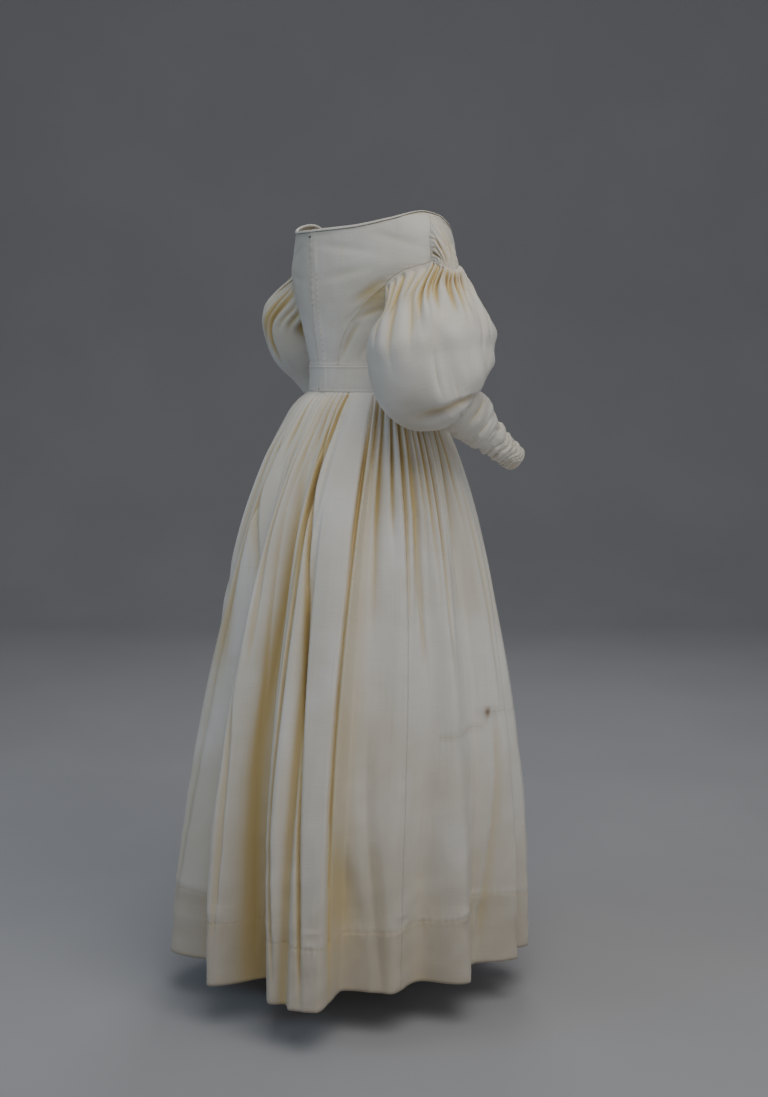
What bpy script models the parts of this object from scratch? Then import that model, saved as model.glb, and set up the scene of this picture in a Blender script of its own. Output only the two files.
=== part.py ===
"""Wedding dress of plain ivory silk, cut as in the 1830s, with its cloth standing as it does when worn.

Each piece that a maker would cut is one closed wall of cloth, parted from its neighbours by a seam gap.
Lengths are in metres and angles in degrees, with +Z up. The wearer faces -Y, with the right arm at -X.
The origin is the middle of the waist seam. Angles round the body start at the centre back, pass the
wearer's right side at 90 and reach the centre front at 180. Angles round an arm start at its back and
pass its outer side at 90.
"""

import math

import bpy
import numpy as np

CLOTH = 0.0018
SEAM_GAP = 0.0003

# Heights above the waist seam.
BAND_HEIGHT = 0.044
SHOULDER_HEIGHT = 0.285

# Sections of the bodice: height, half width, half depth behind and in front, and its squareness behind
# and in front, where 2 is an ellipse. EASE rounds the section off at the centre back and front.
EASE = 0.1
TORSO = (
    (0.000, 0.118, 0.095, 0.095, 1.80, 2.0),
    (0.044, 0.118, 0.096, 0.096, 1.75, 2.0),
    (0.100, 0.138, 0.104, 0.107, 1.70, 2.2),
    (0.125, 0.151, 0.107, 0.114, 1.65, 2.3),
    (0.172, 0.186, 0.112, 0.119, 1.52, 2.3),
    (0.215, 0.216, 0.114, 0.116, 1.40, 2.0),
    (0.255, 0.209, 0.116, 0.110, 1.32, 2.0),
    (0.288, 0.190, 0.116, 0.104, 1.32, 1.9),
    (0.300, 0.164, 0.115, 0.100, 1.35, 1.9),
)

# Steps that the direction out of the bodice is measured over.
NORMAL_ANGLE, NORMAL_HEIGHT = 0.4, 0.002

# The neckline from the centre back to the centre front: angle, height.
NECKLINE = ((0, 0.2695), (30, 0.2735), (60, 0.284), (90, 0.2965), (120, 0.277), (150, 0.248), (180, 0.236))

# The armhole of the right side, from the shoulder down the back and up the front:
# angle round the body, height, angle round the arm, sleeve columns to the next row.
ARMHOLE = (
    (90.0, 0.2895, 90, 6),
    (84.7, 0.252, 68, 6),
    (82.8, 0.215, 45, 4),
    (66.0, 0.201, 15, 4),
    (56.5, 0.177, -15, 3),
    (64.0, 0.140, -50, 3),
    (88.0, 0.125, -90, 3),
    (114.0, 0.137, -130, 3),
    (130.0, 0.172, -165, 4),
    (124.0, 0.200, -195, 4),
    (110.0, 0.213, -225, 6),
    (97.5, 0.252, -248, 6),
)
BACK_SEAM_ROW, SIDE_SEAM_ROW, CAP_END_ROW, CAP_START_ROW = 4, 7, 2, 10

# Where the side-back seam and the side seam leave the waistband, and how much of each one's turn comes late.
BACK_SEAM_ANGLE, BACK_SEAM_CURVE = 22.4, 1.8
SIDE_SEAM_ANGLE, SIDE_SEAM_CURVE = 100.0, 1.4

# The lower edge of the right sleeve cap, at armhole rows 11, 0 and 1. Its tips lie on the armhole.
CAP_EDGE = (
    (-0.224, -0.033, 0.205),
    (-0.235, -0.013, 0.200),
    (-0.231, 0.007, 0.206),
)
CAP_TIP = 0.0016
CAP_BULGE = 0.021
CAP_TOP_GAP = 0.0005
CAP_COLUMNS_PER_SLEEVE_COLUMN = 2
CAP_STRIPS = 3
CAP_GATHER = 0.0013

# Rings of the right puff: centre, forward tilt, then its reach to the outer side, the inner side, the
# back and the front, the rise of its outer side, the depth of its gathers, and its share of the arm's swing.
PUFF = (
    (-0.206, 0.012, 0.139, 0.0, 0.075, 0.053, 0.086, 0.076, 0.032, 0.0052, 0.35),
    (-0.220, 0.018, 0.103, 3.0, 0.098, 0.076, 0.110, 0.094, 0.016, 0.0026, 0.75),
    (-0.228, 0.021, 0.064, 9.0, 0.102, 0.084, 0.116, 0.098, 0.005, 0.0, 1.0),
    (-0.233, 0.018, 0.022, 23.0, 0.100, 0.082, 0.106, 0.098, 0.000, 0.0, 1.0),
    (-0.236, 0.006, -0.008, 42.0, 0.079, 0.062, 0.076, 0.082, 0.000, 0.0010, 1.0),
    (-0.230, -0.019, -0.024, 61.4, 0.037, 0.036, 0.037, 0.037, 0.000, 0.0012, 1.0),
)
# The puff's second ring stands out from its gathered edge by PUFF_START_OUT and lies PUFF_START_ALONG on.
PUFF_START_OUT, PUFF_START_ALONG = 0.0050, 0.010
PUFF_START_GATHER = 0.0042

# The forearm of the right sleeve runs from the puff's last ring to WRIST_END.
WRIST_END = (-0.195, -0.181, -0.115)
FOREARM_GAP = 0.0006
# Rings of the forearm: share of the way, radius, reach to the front.
FOREARM = (
    (0.00, 0.0345, 0.0345),
    (0.07, 0.0385, 0.0430),
    (0.20, 0.0370, 0.0530),
    (0.29, 0.0330, 0.0520),
    (0.36, 0.0350, 0.0500),
    (0.46, 0.0330, 0.0390),
    (0.54, 0.0280, 0.0290),
    (0.62, 0.0290, 0.0320),
    (0.70, 0.0255, 0.0250),
    (0.76, 0.0275, 0.0270),
    (0.83, 0.0250, 0.0245),
    (0.91, 0.0258, 0.0240),
    (1.00, 0.0238, 0.0225),
)
FOREARM_COLUMNS = 12
LEFT_ARM_SWING = 31.0
SECOND_RING_SWING = 0.08

# Sections of the skirt: drop below the waist seam, half width, half depth, shift towards the back.
SKIRT = (
    (0.000, 0.1180, 0.0950, 0.000),
    (0.016, 0.1346, 0.1121, 0.001),
    (0.052, 0.1522, 0.1335, 0.004),
    (0.122, 0.1808, 0.1690, 0.008),
    (0.265, 0.2190, 0.2190, 0.012),
    (0.484, 0.2576, 0.2656, 0.018),
    (0.782, 0.2972, 0.3145, 0.028),
    (1.000, 0.3076, 0.3273, 0.034),
)
SKIRT_DROPS = (0.00015, 0.012, 0.035, 0.075, 0.13, 0.21, 0.32, 0.44, 0.57, 0.70, 0.85, 1.0)
GATHER_PITCH = 5.0
COLUMNS_PER_GATHER = 2
GATHER_HALF_DEPTH = 0.0024
FLAT_ANGLES = (46.5, 313.5)
WAIST_FORM_DROP = 0.035

# Troughs between the large folds: the angle at the waist, at drops of 0.25 and 0.6 and at the hem, the
# depth at the hem, the half width at the hem on the side of smaller and of larger angles, and the
# drops between which the trough forms. The visible right side of the back comes first.
TROUGH_DROPS = (0.0, 0.25, 0.6, 1.0)
TROUGHS = (
    (-18.0, -27.0, -42.0, -44.0, 0.048, 11.0, 17.0, 0.00, 1.00),
    (6.0, -2.0, -13.0, -9.5, 0.080, 18.0, 20.5, 0.00, 1.00),
    (24.0, 18.0, 16.0, 19.5, 0.106, 15.0, 15.5, 0.00, 1.00),
    (37.0, 36.0, 36.5, 37.0, 0.018, 6.0, 2.6, 0.18, 0.50),
    (63.0, 58.0, 56.0, 55.5, 0.083, 8.0, 40.0, 0.00, 1.00),
    (84.0, 85.0, 87.0, 88.0, 0.076, 18.0, 15.0, 0.20, 1.00),
    (112.0, 110.0, 111.0, 114.0, 0.064, 22.0, 14.0, 0.00, 1.00),
    (132.0, 131.0, 130.0, 132.0, 0.030, 7.0, 6.0, 0.05, 1.00),
    (150.0, 152.0, 153.0, 152.0, 0.062, 12.0, 10.0, 0.00, 1.00),
    (171.0, 173.0, 175.0, 176.0, 0.046, 9.0, 11.0, 0.05, 1.00),
    (195.0, 197.0, 199.0, 200.0, 0.074, 12.0, 10.0, 0.00, 1.00),
    (218.0, 220.0, 222.0, 223.0, 0.050, 9.0, 12.0, 0.04, 1.00),
    (242.0, 244.0, 247.0, 248.0, 0.078, 11.0, 12.0, 0.00, 1.00),
    (268.0, 270.0, 271.0, 271.0, 0.044, 9.0, 10.0, 0.04, 0.90),
    (290.0, 290.0, 289.0, 288.0, 0.040, 8.0, 8.0, 0.00, 1.00),
)

# Seams of the skirt in columns from the centre back, and its panels between them.
SKIRT_PANELS = (
    ("skirt_back_right", 0, 31),
    ("skirt_side_right", 31, 59),
    ("skirt_front", 59, 85),
    ("skirt_side_left", 85, 113),
    ("skirt_back_left", 113, 144),
)

# Share of its hem width that a trough has at the waist, and the drops over which it spreads.
TROUGH_WAIST_WIDTH, TROUGH_SPREAD = 0.42, (-0.1, 0.8)
TROUGH_GROWTH = 0.8

BINDING_HEIGHT, BINDING_PROUD = 0.0036, 0.0004
HOOK_SIZE = (0.0065, 0.0012, 0.0028)

SILK = (0.78, 0.72, 0.60)
SILK_SHADE = (0.72, 0.65, 0.52)
DARK_METAL = (0.06, 0.05, 0.045)


def smooth(knots, values, at):
    """Reads a smooth curve through (knots, values) that never overshoots a row."""
    knots, values, at = (np.asarray(given, float) for given in (knots, values, at))
    steps = np.diff(knots)
    slopes = np.diff(values) / steps
    product = slopes[:-1] * slopes[1:]
    total = np.where(product > 0, slopes[:-1] + slopes[1:], 1.0)
    inner = np.where(product > 0, 2 * product / total, 0.0)
    tangents = np.concatenate([slopes[:1], inner, slopes[-1:]])
    i = np.clip(np.searchsorted(knots, at, side="right") - 1, 0, len(steps) - 1)
    h = steps[i]
    t = np.clip((at - knots[i]) / h, 0.0, 1.0)
    start, end = values[i], values[i + 1]
    curve = start * (2 * t**3 - 3 * t**2 + 1) + end * (3 * t**2 - 2 * t**3)
    return curve + h * (tangents[i] * (t**3 - 2 * t**2 + t) + tangents[i + 1] * (t**3 - t**2))


def column(table, index):
    """One column of a table, as a tuple."""
    return tuple(row[index] for row in table)


def rise(start, end, at):
    """Goes smoothly from 0 at `start` to 1 at `end`."""
    t = np.clip((np.asarray(at, float) - start) / (end - start), 0.0, 1.0)
    return t * t * (3 - 2 * t)


def unit(vectors):
    """The vectors at length 1."""
    lengths = np.linalg.norm(vectors, axis=-1, keepdims=True)
    return vectors / np.maximum(lengths, 1e-12)


def section_reach(sine, cosine, power):
    """How far a section of this squareness reaches, as a share of an ellipse's reach."""
    return ((sine**2 + EASE**2) ** (power / 2) + np.abs(cosine) ** power) ** (-1 / power)


def torso(angle, height):
    """Point of the bodice's outer face at an angle round the body and a height."""
    angle, height = np.broadcast_arrays(np.asarray(angle, float), np.asarray(height, float))
    heights = column(TORSO, 0)
    sine, cosine = np.sin(np.radians(angle)), np.cos(np.radians(angle))
    half_width = smooth(heights, column(TORSO, 1), height)
    behind = smooth(heights, column(TORSO, 2), height)
    ahead = smooth(heights, column(TORSO, 3), height)
    power = np.where(cosine > 0, *(smooth(heights, column(TORSO, k), height) for k in (4, 5)))
    reach = section_reach(sine, cosine, power)
    half_depth = np.where(cosine > 0, behind, ahead)
    return np.stack([-half_width * reach * sine, half_depth * reach * cosine, height], -1)


def torso_normal(angle, height):
    """Outward direction of the bodice's outer face."""
    angle, height = np.asarray(angle), np.asarray(height)
    round_body = torso(angle + NORMAL_ANGLE, height) - torso(angle - NORMAL_ANGLE, height)
    upward = torso(angle, height + NORMAL_HEIGHT) - torso(angle, height - NORMAL_HEIGHT)
    return unit(np.cross(round_body, upward))


def wall(name, outer, inner, colour, ring=False):
    """Makes a closed wall of cloth between two grids of points, rows by columns.

    A ring's last column joins its first. Both faces of a cell are split along the same diagonal, and so
    are the rims of two pieces that meet.
    """
    rows, columns = outer.shape[:2]
    points = np.concatenate([outer.reshape(-1, 3), inner.reshape(-1, 3)])
    shift = rows * columns
    cells = columns if ring else columns - 1
    faces = []
    for r in range(rows - 1):
        for c in range(cells):
            a, b = r * columns + c, r * columns + (c + 1) % columns
            d, e = a + columns, b + columns
            faces += [(a, d, b), (b, d, e)]
            faces += [(a + shift, b + shift, d + shift), (b + shift, e + shift, d + shift)]
    rims = []
    for c in range(cells):
        last_row = (rows - 1) * columns
        rims.append((c, (c + 1) % columns))
        rims.append((last_row + (c + 1) % columns, last_row + c))
    for r in range(0 if ring else rows - 1):
        rims.append(((r + 1) * columns, r * columns))
        rims.append(((r + 1) * columns - 1, (r + 2) * columns - 1))
    for start, end in rims:
        if start < end:
            faces += [(start, end, end + shift), (start, end + shift, start + shift)]
        else:
            faces += [(start, end, start + shift), (end, end + shift, start + shift)]
    return solid(name, points, faces, colour)


def solid(name, points, faces, colour, metallic=0.0):
    """Adds a closed mesh object with its own material, faces outwards, under the wearer's waist."""
    mesh = bpy.data.meshes.new(name)
    mesh.from_pydata([tuple(point) for point in points], [], faces)
    mesh.validate()
    corners = np.array([mesh.vertices[i].co for face in mesh.polygons for i in triangle_of(face)])
    corners = corners.reshape(-1, 3, 3)
    volume = np.einsum("ij,ij->i", corners[:, 0], np.cross(corners[:, 1], corners[:, 2])).sum()
    if volume < 0:
        mesh.flip_normals()
    mesh.shade_smooth()
    mesh.set_sharp_from_angle(angle=math.radians(50))
    material = bpy.data.materials.new(name)
    material.use_nodes = True
    shader = material.node_tree.nodes["Principled BSDF"]
    shader.inputs["Base Color"].default_value = (*colour, 1.0)
    shader.inputs["Roughness"].default_value = 0.35 if metallic else 0.5
    shader.inputs["Metallic"].default_value = metallic
    mesh.materials.append(material)
    piece = bpy.data.objects.new(name, mesh)
    bpy.context.scene.collection.objects.link(piece)
    piece.parent = bpy.data.objects["wearer_waist"]
    return piece


def triangle_of(face):
    """Corner indices of the face's fan of triangles, end to end."""
    corners = list(face.vertices)
    fan = []
    for k in range(1, len(corners) - 1):
        fan += [corners[0], corners[k], corners[k + 1]]
    return fan


def lofted_normals(grid, middles):
    """Directions out of a ring-shaped grid, from its neighbouring points; `middles` has a point a row."""
    round_arm = np.roll(grid, -1, axis=1) - np.roll(grid, 1, axis=1)
    along = np.gradient(grid, axis=0)
    normals = unit(np.cross(round_arm, along))
    outward = ((grid - middles[:, None]) * normals).sum(-1).mean() > 0
    return normals if outward else -normals


def drawn_in(points):
    """Moves the outermost rows and columns of a panel half a seam gap towards its middle."""
    moved = points.copy()
    half = SEAM_GAP / 2
    moved[:, 0] += half * unit(points[:, 1] - points[:, 0])
    moved[:, -1] += half * unit(points[:, -2] - points[:, -1])
    moved[0] += half * unit(points[1] - points[0])
    moved[-1] += half * unit(points[-2] - points[-1])
    return moved


def patch(left, right, low, high):
    """Fills four border lines of (angle, height) points with a grid, low row first."""
    left, right, low, high = (np.asarray(border, float) for border in (left, right, low, high))
    u = np.linspace(0, 1, len(low))[None, :, None]
    v = np.linspace(0, 1, len(left))[:, None, None]
    across = (1 - u) * left[:, None] + u * right[:, None]
    upward = (1 - v) * low[None] + v * high[None]
    corners = (1 - v) * ((1 - u) * low[0] + u * low[-1]) + v * ((1 - u) * high[0] + u * high[-1])
    return across + upward - corners


def bodice_panel(name, left, right, low, high):
    """One panel of the bodice between four border lines of (angle, height) points."""
    grid = patch(left, right, low, high)
    outer = torso(grid[..., 0], grid[..., 1])
    inner = outer - CLOTH * torso_normal(grid[..., 0], grid[..., 1])
    inner[0, :, 2] = outer[0, :, 2]
    shift = drawn_in(outer) - outer
    wall(name, outer + shift, inner + shift, SILK)


def armhole(first, last):
    """(angle, height) points down the right armhole between two of its rows, two steps to a row."""
    rows = list(ARMHOLE) * 2
    at = np.arange(2 * (last - first) + 1) / 2 + first
    keys = np.arange(len(rows))
    angles, heights = column(rows, 0), column(rows, 1)
    return np.stack([smooth(keys, angles, at), smooth(keys, heights, at)], -1)


def seam_line(angle, row, curve):
    """(angle, height) points of a bodice seam from the waistband to an armhole row."""
    end_angle, end_height = ARMHOLE[row][:2]
    share = np.linspace(0, 1, 5)
    angles = angle + (end_angle - angle) * share**curve
    return np.stack([angles, BAND_HEIGHT + (end_height - BAND_HEIGHT) * share], -1)


def neckline(first, last, steps):
    """(angle, height) points of the neckline between two angles."""
    angles = np.linspace(first, last, steps + 1)
    return np.stack([angles, smooth(column(NECKLINE, 0), column(NECKLINE, 1), np.abs(angles))], -1)


def level(first, last, steps, height):
    """(angle, height) points at one height."""
    angles = np.linspace(first, last, steps + 1)
    return np.stack([angles, np.full(steps + 1, height)], -1)


def other_side(border):
    """The same line on the wearer's left side."""
    return np.asarray(border) * (-1, 1)


def build_bodice():
    """Two back panels, two side panels and the front, from the waistband to the neckline."""
    back_seam = seam_line(BACK_SEAM_ANGLE, BACK_SEAM_ROW, BACK_SEAM_CURVE)
    side_seam = seam_line(SIDE_SEAM_ANGLE, SIDE_SEAM_ROW, SIDE_SEAM_CURVE)
    shoulder = np.array([[90.0, NECKLINE[3][1]]])
    back_edge = np.concatenate([back_seam, armhole(0, BACK_SEAM_ROW)[::-1][1:], shoulder])
    front_edge = np.concatenate([side_seam, armhole(SIDE_SEAM_ROW, 12)[1:], shoulder])
    back_heights = np.linspace(BAND_HEIGHT, NECKLINE[0][1], len(back_edge))
    centre_back = np.stack([np.zeros(len(back_edge)), back_heights], -1)
    under_arm = armhole(BACK_SEAM_ROW, SIDE_SEAM_ROW)
    back_low = level(0, BACK_SEAM_ANGLE, 6, BAND_HEIGHT)
    side_low = level(BACK_SEAM_ANGLE, SIDE_SEAM_ANGLE, len(under_arm) - 1, BAND_HEIGHT)
    back_neck = neckline(0, 90, 6)
    bodice_panel("back_right", centre_back, back_edge, back_low, back_neck)
    bodice_panel("back_left", other_side(centre_back), other_side(back_edge), other_side(back_low),
                 other_side(back_neck))
    bodice_panel("side_right", back_seam, side_seam, side_low, under_arm)
    bodice_panel("side_left", other_side(back_seam), other_side(side_seam), other_side(side_low),
                 other_side(under_arm))
    front_neck = np.concatenate([neckline(90, 180, 7), neckline(-180, -90, 7)[1:] + (360, 0)])
    front_low = level(SIDE_SEAM_ANGLE, 360 - SIDE_SEAM_ANGLE, len(front_neck) - 1, BAND_HEIGHT)
    bodice_panel("front", front_edge, other_side(front_edge) + (360, 0), front_low, front_neck)
    build_binding(back_neck, front_neck)


def build_binding(back_neck, front_neck):
    """The narrow bound edge on top of the neckline, open at the centre back."""
    line = np.concatenate([back_neck, front_neck[1:], (other_side(back_neck) + (360, 0))[::-1][1:]])
    edge = torso(line[:, 0], line[:, 1])
    out = torso_normal(line[:, 0], line[:, 1])
    along = unit(np.gradient(edge, axis=0))
    along[0], along[-1] = unit(edge[1] - edge[0]), unit(edge[-1] - edge[-2])
    up = unit(np.cross(out, along))
    up *= np.sign(up[:, 2:])
    low = edge + SEAM_GAP * up
    high = edge + (SEAM_GAP + BINDING_HEIGHT) * up
    outer = np.stack([high, low]) + BINDING_PROUD * out
    inner = np.stack([high, low]) - (CLOTH + BINDING_PROUD) * out
    ends = np.zeros_like(outer)
    ends[:, 0] = SEAM_GAP / 2 * along[0]
    ends[:, -1] = -SEAM_GAP / 2 * along[-1]
    wall("neck_binding", outer + ends, inner + ends, SILK_SHADE)


def build_waistband():
    """The band between bodice and skirt, open at the centre back."""
    angles = np.linspace(0, 360, 37)
    heights = np.array([BAND_HEIGHT - SEAM_GAP / 2, BAND_HEIGHT / 2, SEAM_GAP])
    outer = torso(angles[None, :], heights[:, None])
    inner = outer - CLOTH * torso_normal(angles[None, :], heights[:, None])
    inner[..., 2] = outer[..., 2]
    for points in (outer, inner):
        points[:, 0, 0] = -SEAM_GAP / 2
        points[:, -1, 0] = SEAM_GAP / 2
    wall("waistband", outer, inner, SILK)


def trough_depth(angle, drop):
    """How far the large folds draw the skirt in at an angle and a drop."""
    total = np.zeros(np.broadcast(angle, drop).shape)
    for waist, upper, lower, hem, depth, near, far, start, end in TROUGHS:
        centre = smooth(TROUGH_DROPS, (waist, upper, lower, hem), drop)
        away = (angle - centre + 180) % 360 - 180
        narrowing = TROUGH_WAIST_WIDTH + (1 - TROUGH_WAIST_WIDTH) * rise(*TROUGH_SPREAD, drop)
        reach = np.where(away < 0, near, far) * narrowing
        shape = np.where(np.abs(away) < reach, 0.5 + 0.5 * np.cos(np.pi * away / reach), 0.0)
        total += depth * shape * np.clip((drop - start) / (end - start), 0, 1) ** TROUGH_GROWTH
    return total


def gather_depth(angle, drop):
    """How far a gather stands out or draws in at an angle and a drop; two flat places have none."""
    gather = np.floor(angle / GATHER_PITCH + 0.25)
    length = 0.20 + 0.07 * np.sin(2.4 * gather) + 0.04 * np.sin(5.1 * gather + 1)
    strength = 0.8 + 0.2 * np.sin(1.7 * gather + 2)
    away_from_flat = np.minimum(np.abs(angle - FLAT_ANGLES[0]), np.abs(angle - FLAT_ANGLES[1]))
    flat = rise(6.0, 11.5, away_from_flat)
    fade = 1 - rise(0.03, 1.0, drop / length)
    onset = 0.4 + 0.6 * rise(0.0, 0.012, drop)
    wave = np.cos(2 * np.pi * angle / GATHER_PITCH)
    return GATHER_HALF_DEPTH * strength * flat * fade * onset * wave


def skirt_surface(angle, drop):
    """Point of the skirt's outer face at an angle round the body and a drop below the waist."""
    drops = column(SKIRT, 0)
    half_width = smooth(drops, column(SKIRT, 1), drop)
    half_depth = smooth(drops, column(SKIRT, 2), drop)
    shift = smooth(drops, column(SKIRT, 3), drop)
    sine, cosine = np.sin(np.radians(angle)), np.cos(np.radians(angle))
    out = unit(np.stack([-sine / half_width, cosine / half_depth], -1))
    depth = gather_depth(angle, drop) - trough_depth(angle, drop)
    waist_power = np.where(cosine > 0, TORSO[0][4], TORSO[0][5])
    waist_reach = section_reach(sine, cosine, waist_power)
    reach = waist_reach + (1 - waist_reach) * rise(0.0, WAIST_FORM_DROP, drop)
    half_width, half_depth = half_width * reach, half_depth * reach
    x = -half_width * sine + depth * out[..., 0]
    y = shift + half_depth * cosine + depth * out[..., 1]
    return np.stack([x, y, np.broadcast_to(-drop, x.shape)], -1)


def build_skirt():
    """Five gathered panels, cut from one ring of columns."""
    columns = round(360 / GATHER_PITCH * COLUMNS_PER_GATHER)
    angle, drop = np.meshgrid(np.arange(columns) * 360 / columns, SKIRT_DROPS)
    outer = skirt_surface(angle, drop)
    round_body = np.roll(outer, -1, axis=1) - np.roll(outer, 1, axis=1)
    normals = unit(np.cross(np.gradient(outer, np.array(SKIRT_DROPS), axis=0), round_body))
    inner = outer - CLOTH * normals
    inner[[0, -1], :, 2] = outer[[0, -1], :, 2]
    side = unit(round_body * (1, 1, 0)) * SEAM_GAP / 2
    for name, first, last in SKIRT_PANELS:
        chosen = np.arange(first, last + 1) % columns
        shift = np.zeros((len(SKIRT_DROPS), len(chosen), 3))
        shift[:, 0] = side[:, chosen[0]]
        shift[:, -1] = -side[:, chosen[-1]]
        wall(name, outer[:, chosen] + shift, inner[:, chosen] + shift, SILK)


def armhole_at(position):
    """Points on the right armhole's straight steps, the ways out there, and the ways into the hole."""
    corners = armhole(0, 12)[:-1]
    count = len(corners)
    points = torso(corners[:, 0], corners[:, 1])
    out = torso_normal(corners[:, 0], corners[:, 1])
    along = unit(np.roll(points, -1, axis=0) - np.roll(points, 1, axis=0))
    away = unit(np.cross(out, along))
    step = np.asarray(position) * 2
    i = np.floor(step).astype(int)
    t = (step - i)[..., None]
    first, second = i % count, (i + 1) % count
    return tuple((1 - t) * given[first] + t * given[second] for given in (points, out, away))


def sleeve_positions():
    """Armhole position of each sleeve column, counted in armhole rows."""
    return np.concatenate([row + np.arange(n) / n for row, n in enumerate(column(ARMHOLE, 3))])


def cap_edge(position):
    """Lower edge of the right sleeve cap at armhole positions between rows 10 and 14."""
    tips, _, away = armhole_at(np.array([CAP_START_ROW, 12 + CAP_END_ROW]))
    tips = tips + CAP_TIP * away
    rows = (tips[0], *CAP_EDGE, tips[1])
    keys = np.arange(CAP_START_ROW, CAP_START_ROW + len(rows))
    return np.stack([smooth(keys, column(rows, k), position) for k in range(3)], -1)


def build_cap(name, mirror):
    """The gathered sleeve cap: a crescent from the armhole over the shoulder to the puff."""
    sleeve = sleeve_positions()
    sleeve = np.concatenate([sleeve[sleeve >= CAP_START_ROW], 12 + sleeve[sleeve < CAP_END_ROW], [14.0]])
    steps = np.arange(CAP_COLUMNS_PER_SLEEVE_COLUMN * (len(sleeve) - 1) + 1) / CAP_COLUMNS_PER_SLEEVE_COLUMN
    position = np.interp(steps, np.arange(len(sleeve)), sleeve)
    top, out, away = armhole_at(position)
    edge_points = cap_edge(sleeve)
    low = np.stack([np.interp(steps, np.arange(len(sleeve)), edge_points[:, k]) for k in range(3)], -1)
    top = top + CAP_TOP_GAP * away
    middle = (top + low) / 2
    reach = np.linalg.norm(top - low, axis=-1, keepdims=True)
    bulge = unit(np.array([-1.0, 0.0, 0.35])) * CAP_BULGE * rise(0.0, 0.08, reach)
    v = np.linspace(0, 1, CAP_STRIPS + 1)[:, None, None]
    grid = (1 - v) ** 2 * top + 2 * v * (1 - v) * (middle + bulge) + v**2 * (low + (0, 0, SEAM_GAP))
    normals = unit(np.cross(np.gradient(grid, axis=1), np.gradient(grid, axis=0)))
    normals *= np.sign((normals * out).sum(-1).mean())
    normals[0] = unit(out)
    normals[-1] = unit(normals[-1] * (1, 1, 0))
    wave = np.where(np.arange(grid.shape[1]) % 2 == 0, 1.0, -1.0)
    fade = 1 - 0.8 * rise(0.1, 0.95, v[..., 0])
    grid = grid + (CAP_GATHER * wave * fade)[..., None] * normals * rise(0.004, 0.05, reach)
    inner = grid - CLOTH * normals
    shift = np.zeros_like(grid)
    shift[:, 0] = SEAM_GAP / 2 * unit(grid[:, 1] - grid[:, 0])
    shift[:, -1] = SEAM_GAP / 2 * unit(grid[:, -2] - grid[:, -1])
    wall(name, (grid + shift) * mirror, (inner + shift) * mirror, SILK)


def arm_ring(angles, centre, tilt, outer, inner, back, front, lift):
    """Points of a ring round the arm, tilted forwards, with its own reach on each side."""
    sine, cosine = np.sin(np.radians(angles)), np.cos(np.radians(angles))
    side = np.where(sine > 0, outer, inner) * sine
    fore = np.where(cosine > 0, back, front) * cosine
    tilted = math.radians(tilt)
    x = centre[0] - side
    y = centre[1] + fore * math.cos(tilted)
    z = centre[2] - fore * math.sin(tilted) + lift * sine
    return np.stack([x, y, z], -1)


def swung(points, degrees):
    """Points turned forwards about the shoulder, by an angle for each row."""
    turn = np.radians(np.asarray(degrees, float))[:, None]
    y, z = points[..., 1], points[..., 2] - SHOULDER_HEIGHT
    turned_y = y * np.cos(turn) + z * np.sin(turn)
    turned_z = z * np.cos(turn) - y * np.sin(turn)
    return np.stack([points[..., 0], turned_y, turned_z + SHOULDER_HEIGHT], -1)


def puff_start(position):
    """The right puff's gathered edge, the ring that stands out from it, and the ways out of the edge."""
    hole, out, away = armhole_at(position)
    start = hole + SEAM_GAP * away
    under_cap = (position >= CAP_START_ROW) | (position <= CAP_END_ROW)
    lap = np.where(position <= CAP_END_ROW, position + 12, position)
    start[under_cap] = cap_edge(lap[under_cap]) - (0, 0, SEAM_GAP)
    flare = np.where(under_cap[:, None], unit(start - start.mean(0)), out)
    along = np.array([-0.35, 0.0, -1.0]) + np.where(under_cap[:, None], 0.0, 0.4) * away
    second = start + PUFF_START_OUT * flare + PUFF_START_ALONG * along
    wave = np.where(np.arange(len(position)) % 2 == 0, 1.0, -1.0)[:, None]
    level_under_cap = np.where(under_cap[:, None], (1, 1, 0), 1)
    return start, second + PUFF_START_GATHER * wave * flare, unit(flare * level_under_cap)


def puff_rings(swing):
    """Rings of the right puff with the arm swung forwards, rows by columns, and the ways out of the first."""
    position = sleeve_positions()
    angles = smooth(np.arange(13), (*column(ARMHOLE, 2), ARMHOLE[0][2] - 360), position)
    place = np.arange(len(position))
    start, second, out = puff_start(position)
    rows, swings = [start, second], [0.0, SECOND_RING_SWING]
    for x, y, z, tilt, outer, inner, back, front, lift, gather, share in PUFF:
        pleat = gather * (np.cos(place * math.pi) if z > 0 else np.cos(place * math.pi / 2))
        reach = [side + pleat for side in (outer, inner, back, front)]
        rows.append(arm_ring(angles, (x, y, z), tilt, *reach, lift))
        swings.append(share)
    return swung(np.stack(rows), np.array(swings) * swing), out


def build_puff(name, mirror, swing):
    """The full puff, gathered into the armhole and cap above and into the forearm below."""
    grid, out = puff_rings(swing)
    normals = lofted_normals(grid, grid.mean(1))
    normals[0] = out
    wall(name, grid * mirror, (grid - CLOTH * normals) * mirror, SILK, ring=True)


def build_forearm(name, mirror, swing):
    """The close lower sleeve from the puff to the open wrist."""
    angles = np.arange(FOREARM_COLUMNS) * 360 / FOREARM_COLUMNS
    wrist, elbow, tilt = np.array(WRIST_END), np.array(PUFF[-1][:3]), PUFF[-1][3]
    elbow = elbow + FOREARM_GAP * unit(wrist - elbow)
    rings = []
    for share, radius, front in FOREARM:
        centre = elbow + (wrist - elbow) * share
        rings.append(arm_ring(angles, centre, tilt, radius, radius, radius, front, 0.0))
    grid = swung(np.stack(rings), np.full(len(rings), swing))
    normals = lofted_normals(grid, grid.mean(1))
    wall(name, grid * mirror, (grid - CLOTH * normals) * mirror, SILK, ring=True)


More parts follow.
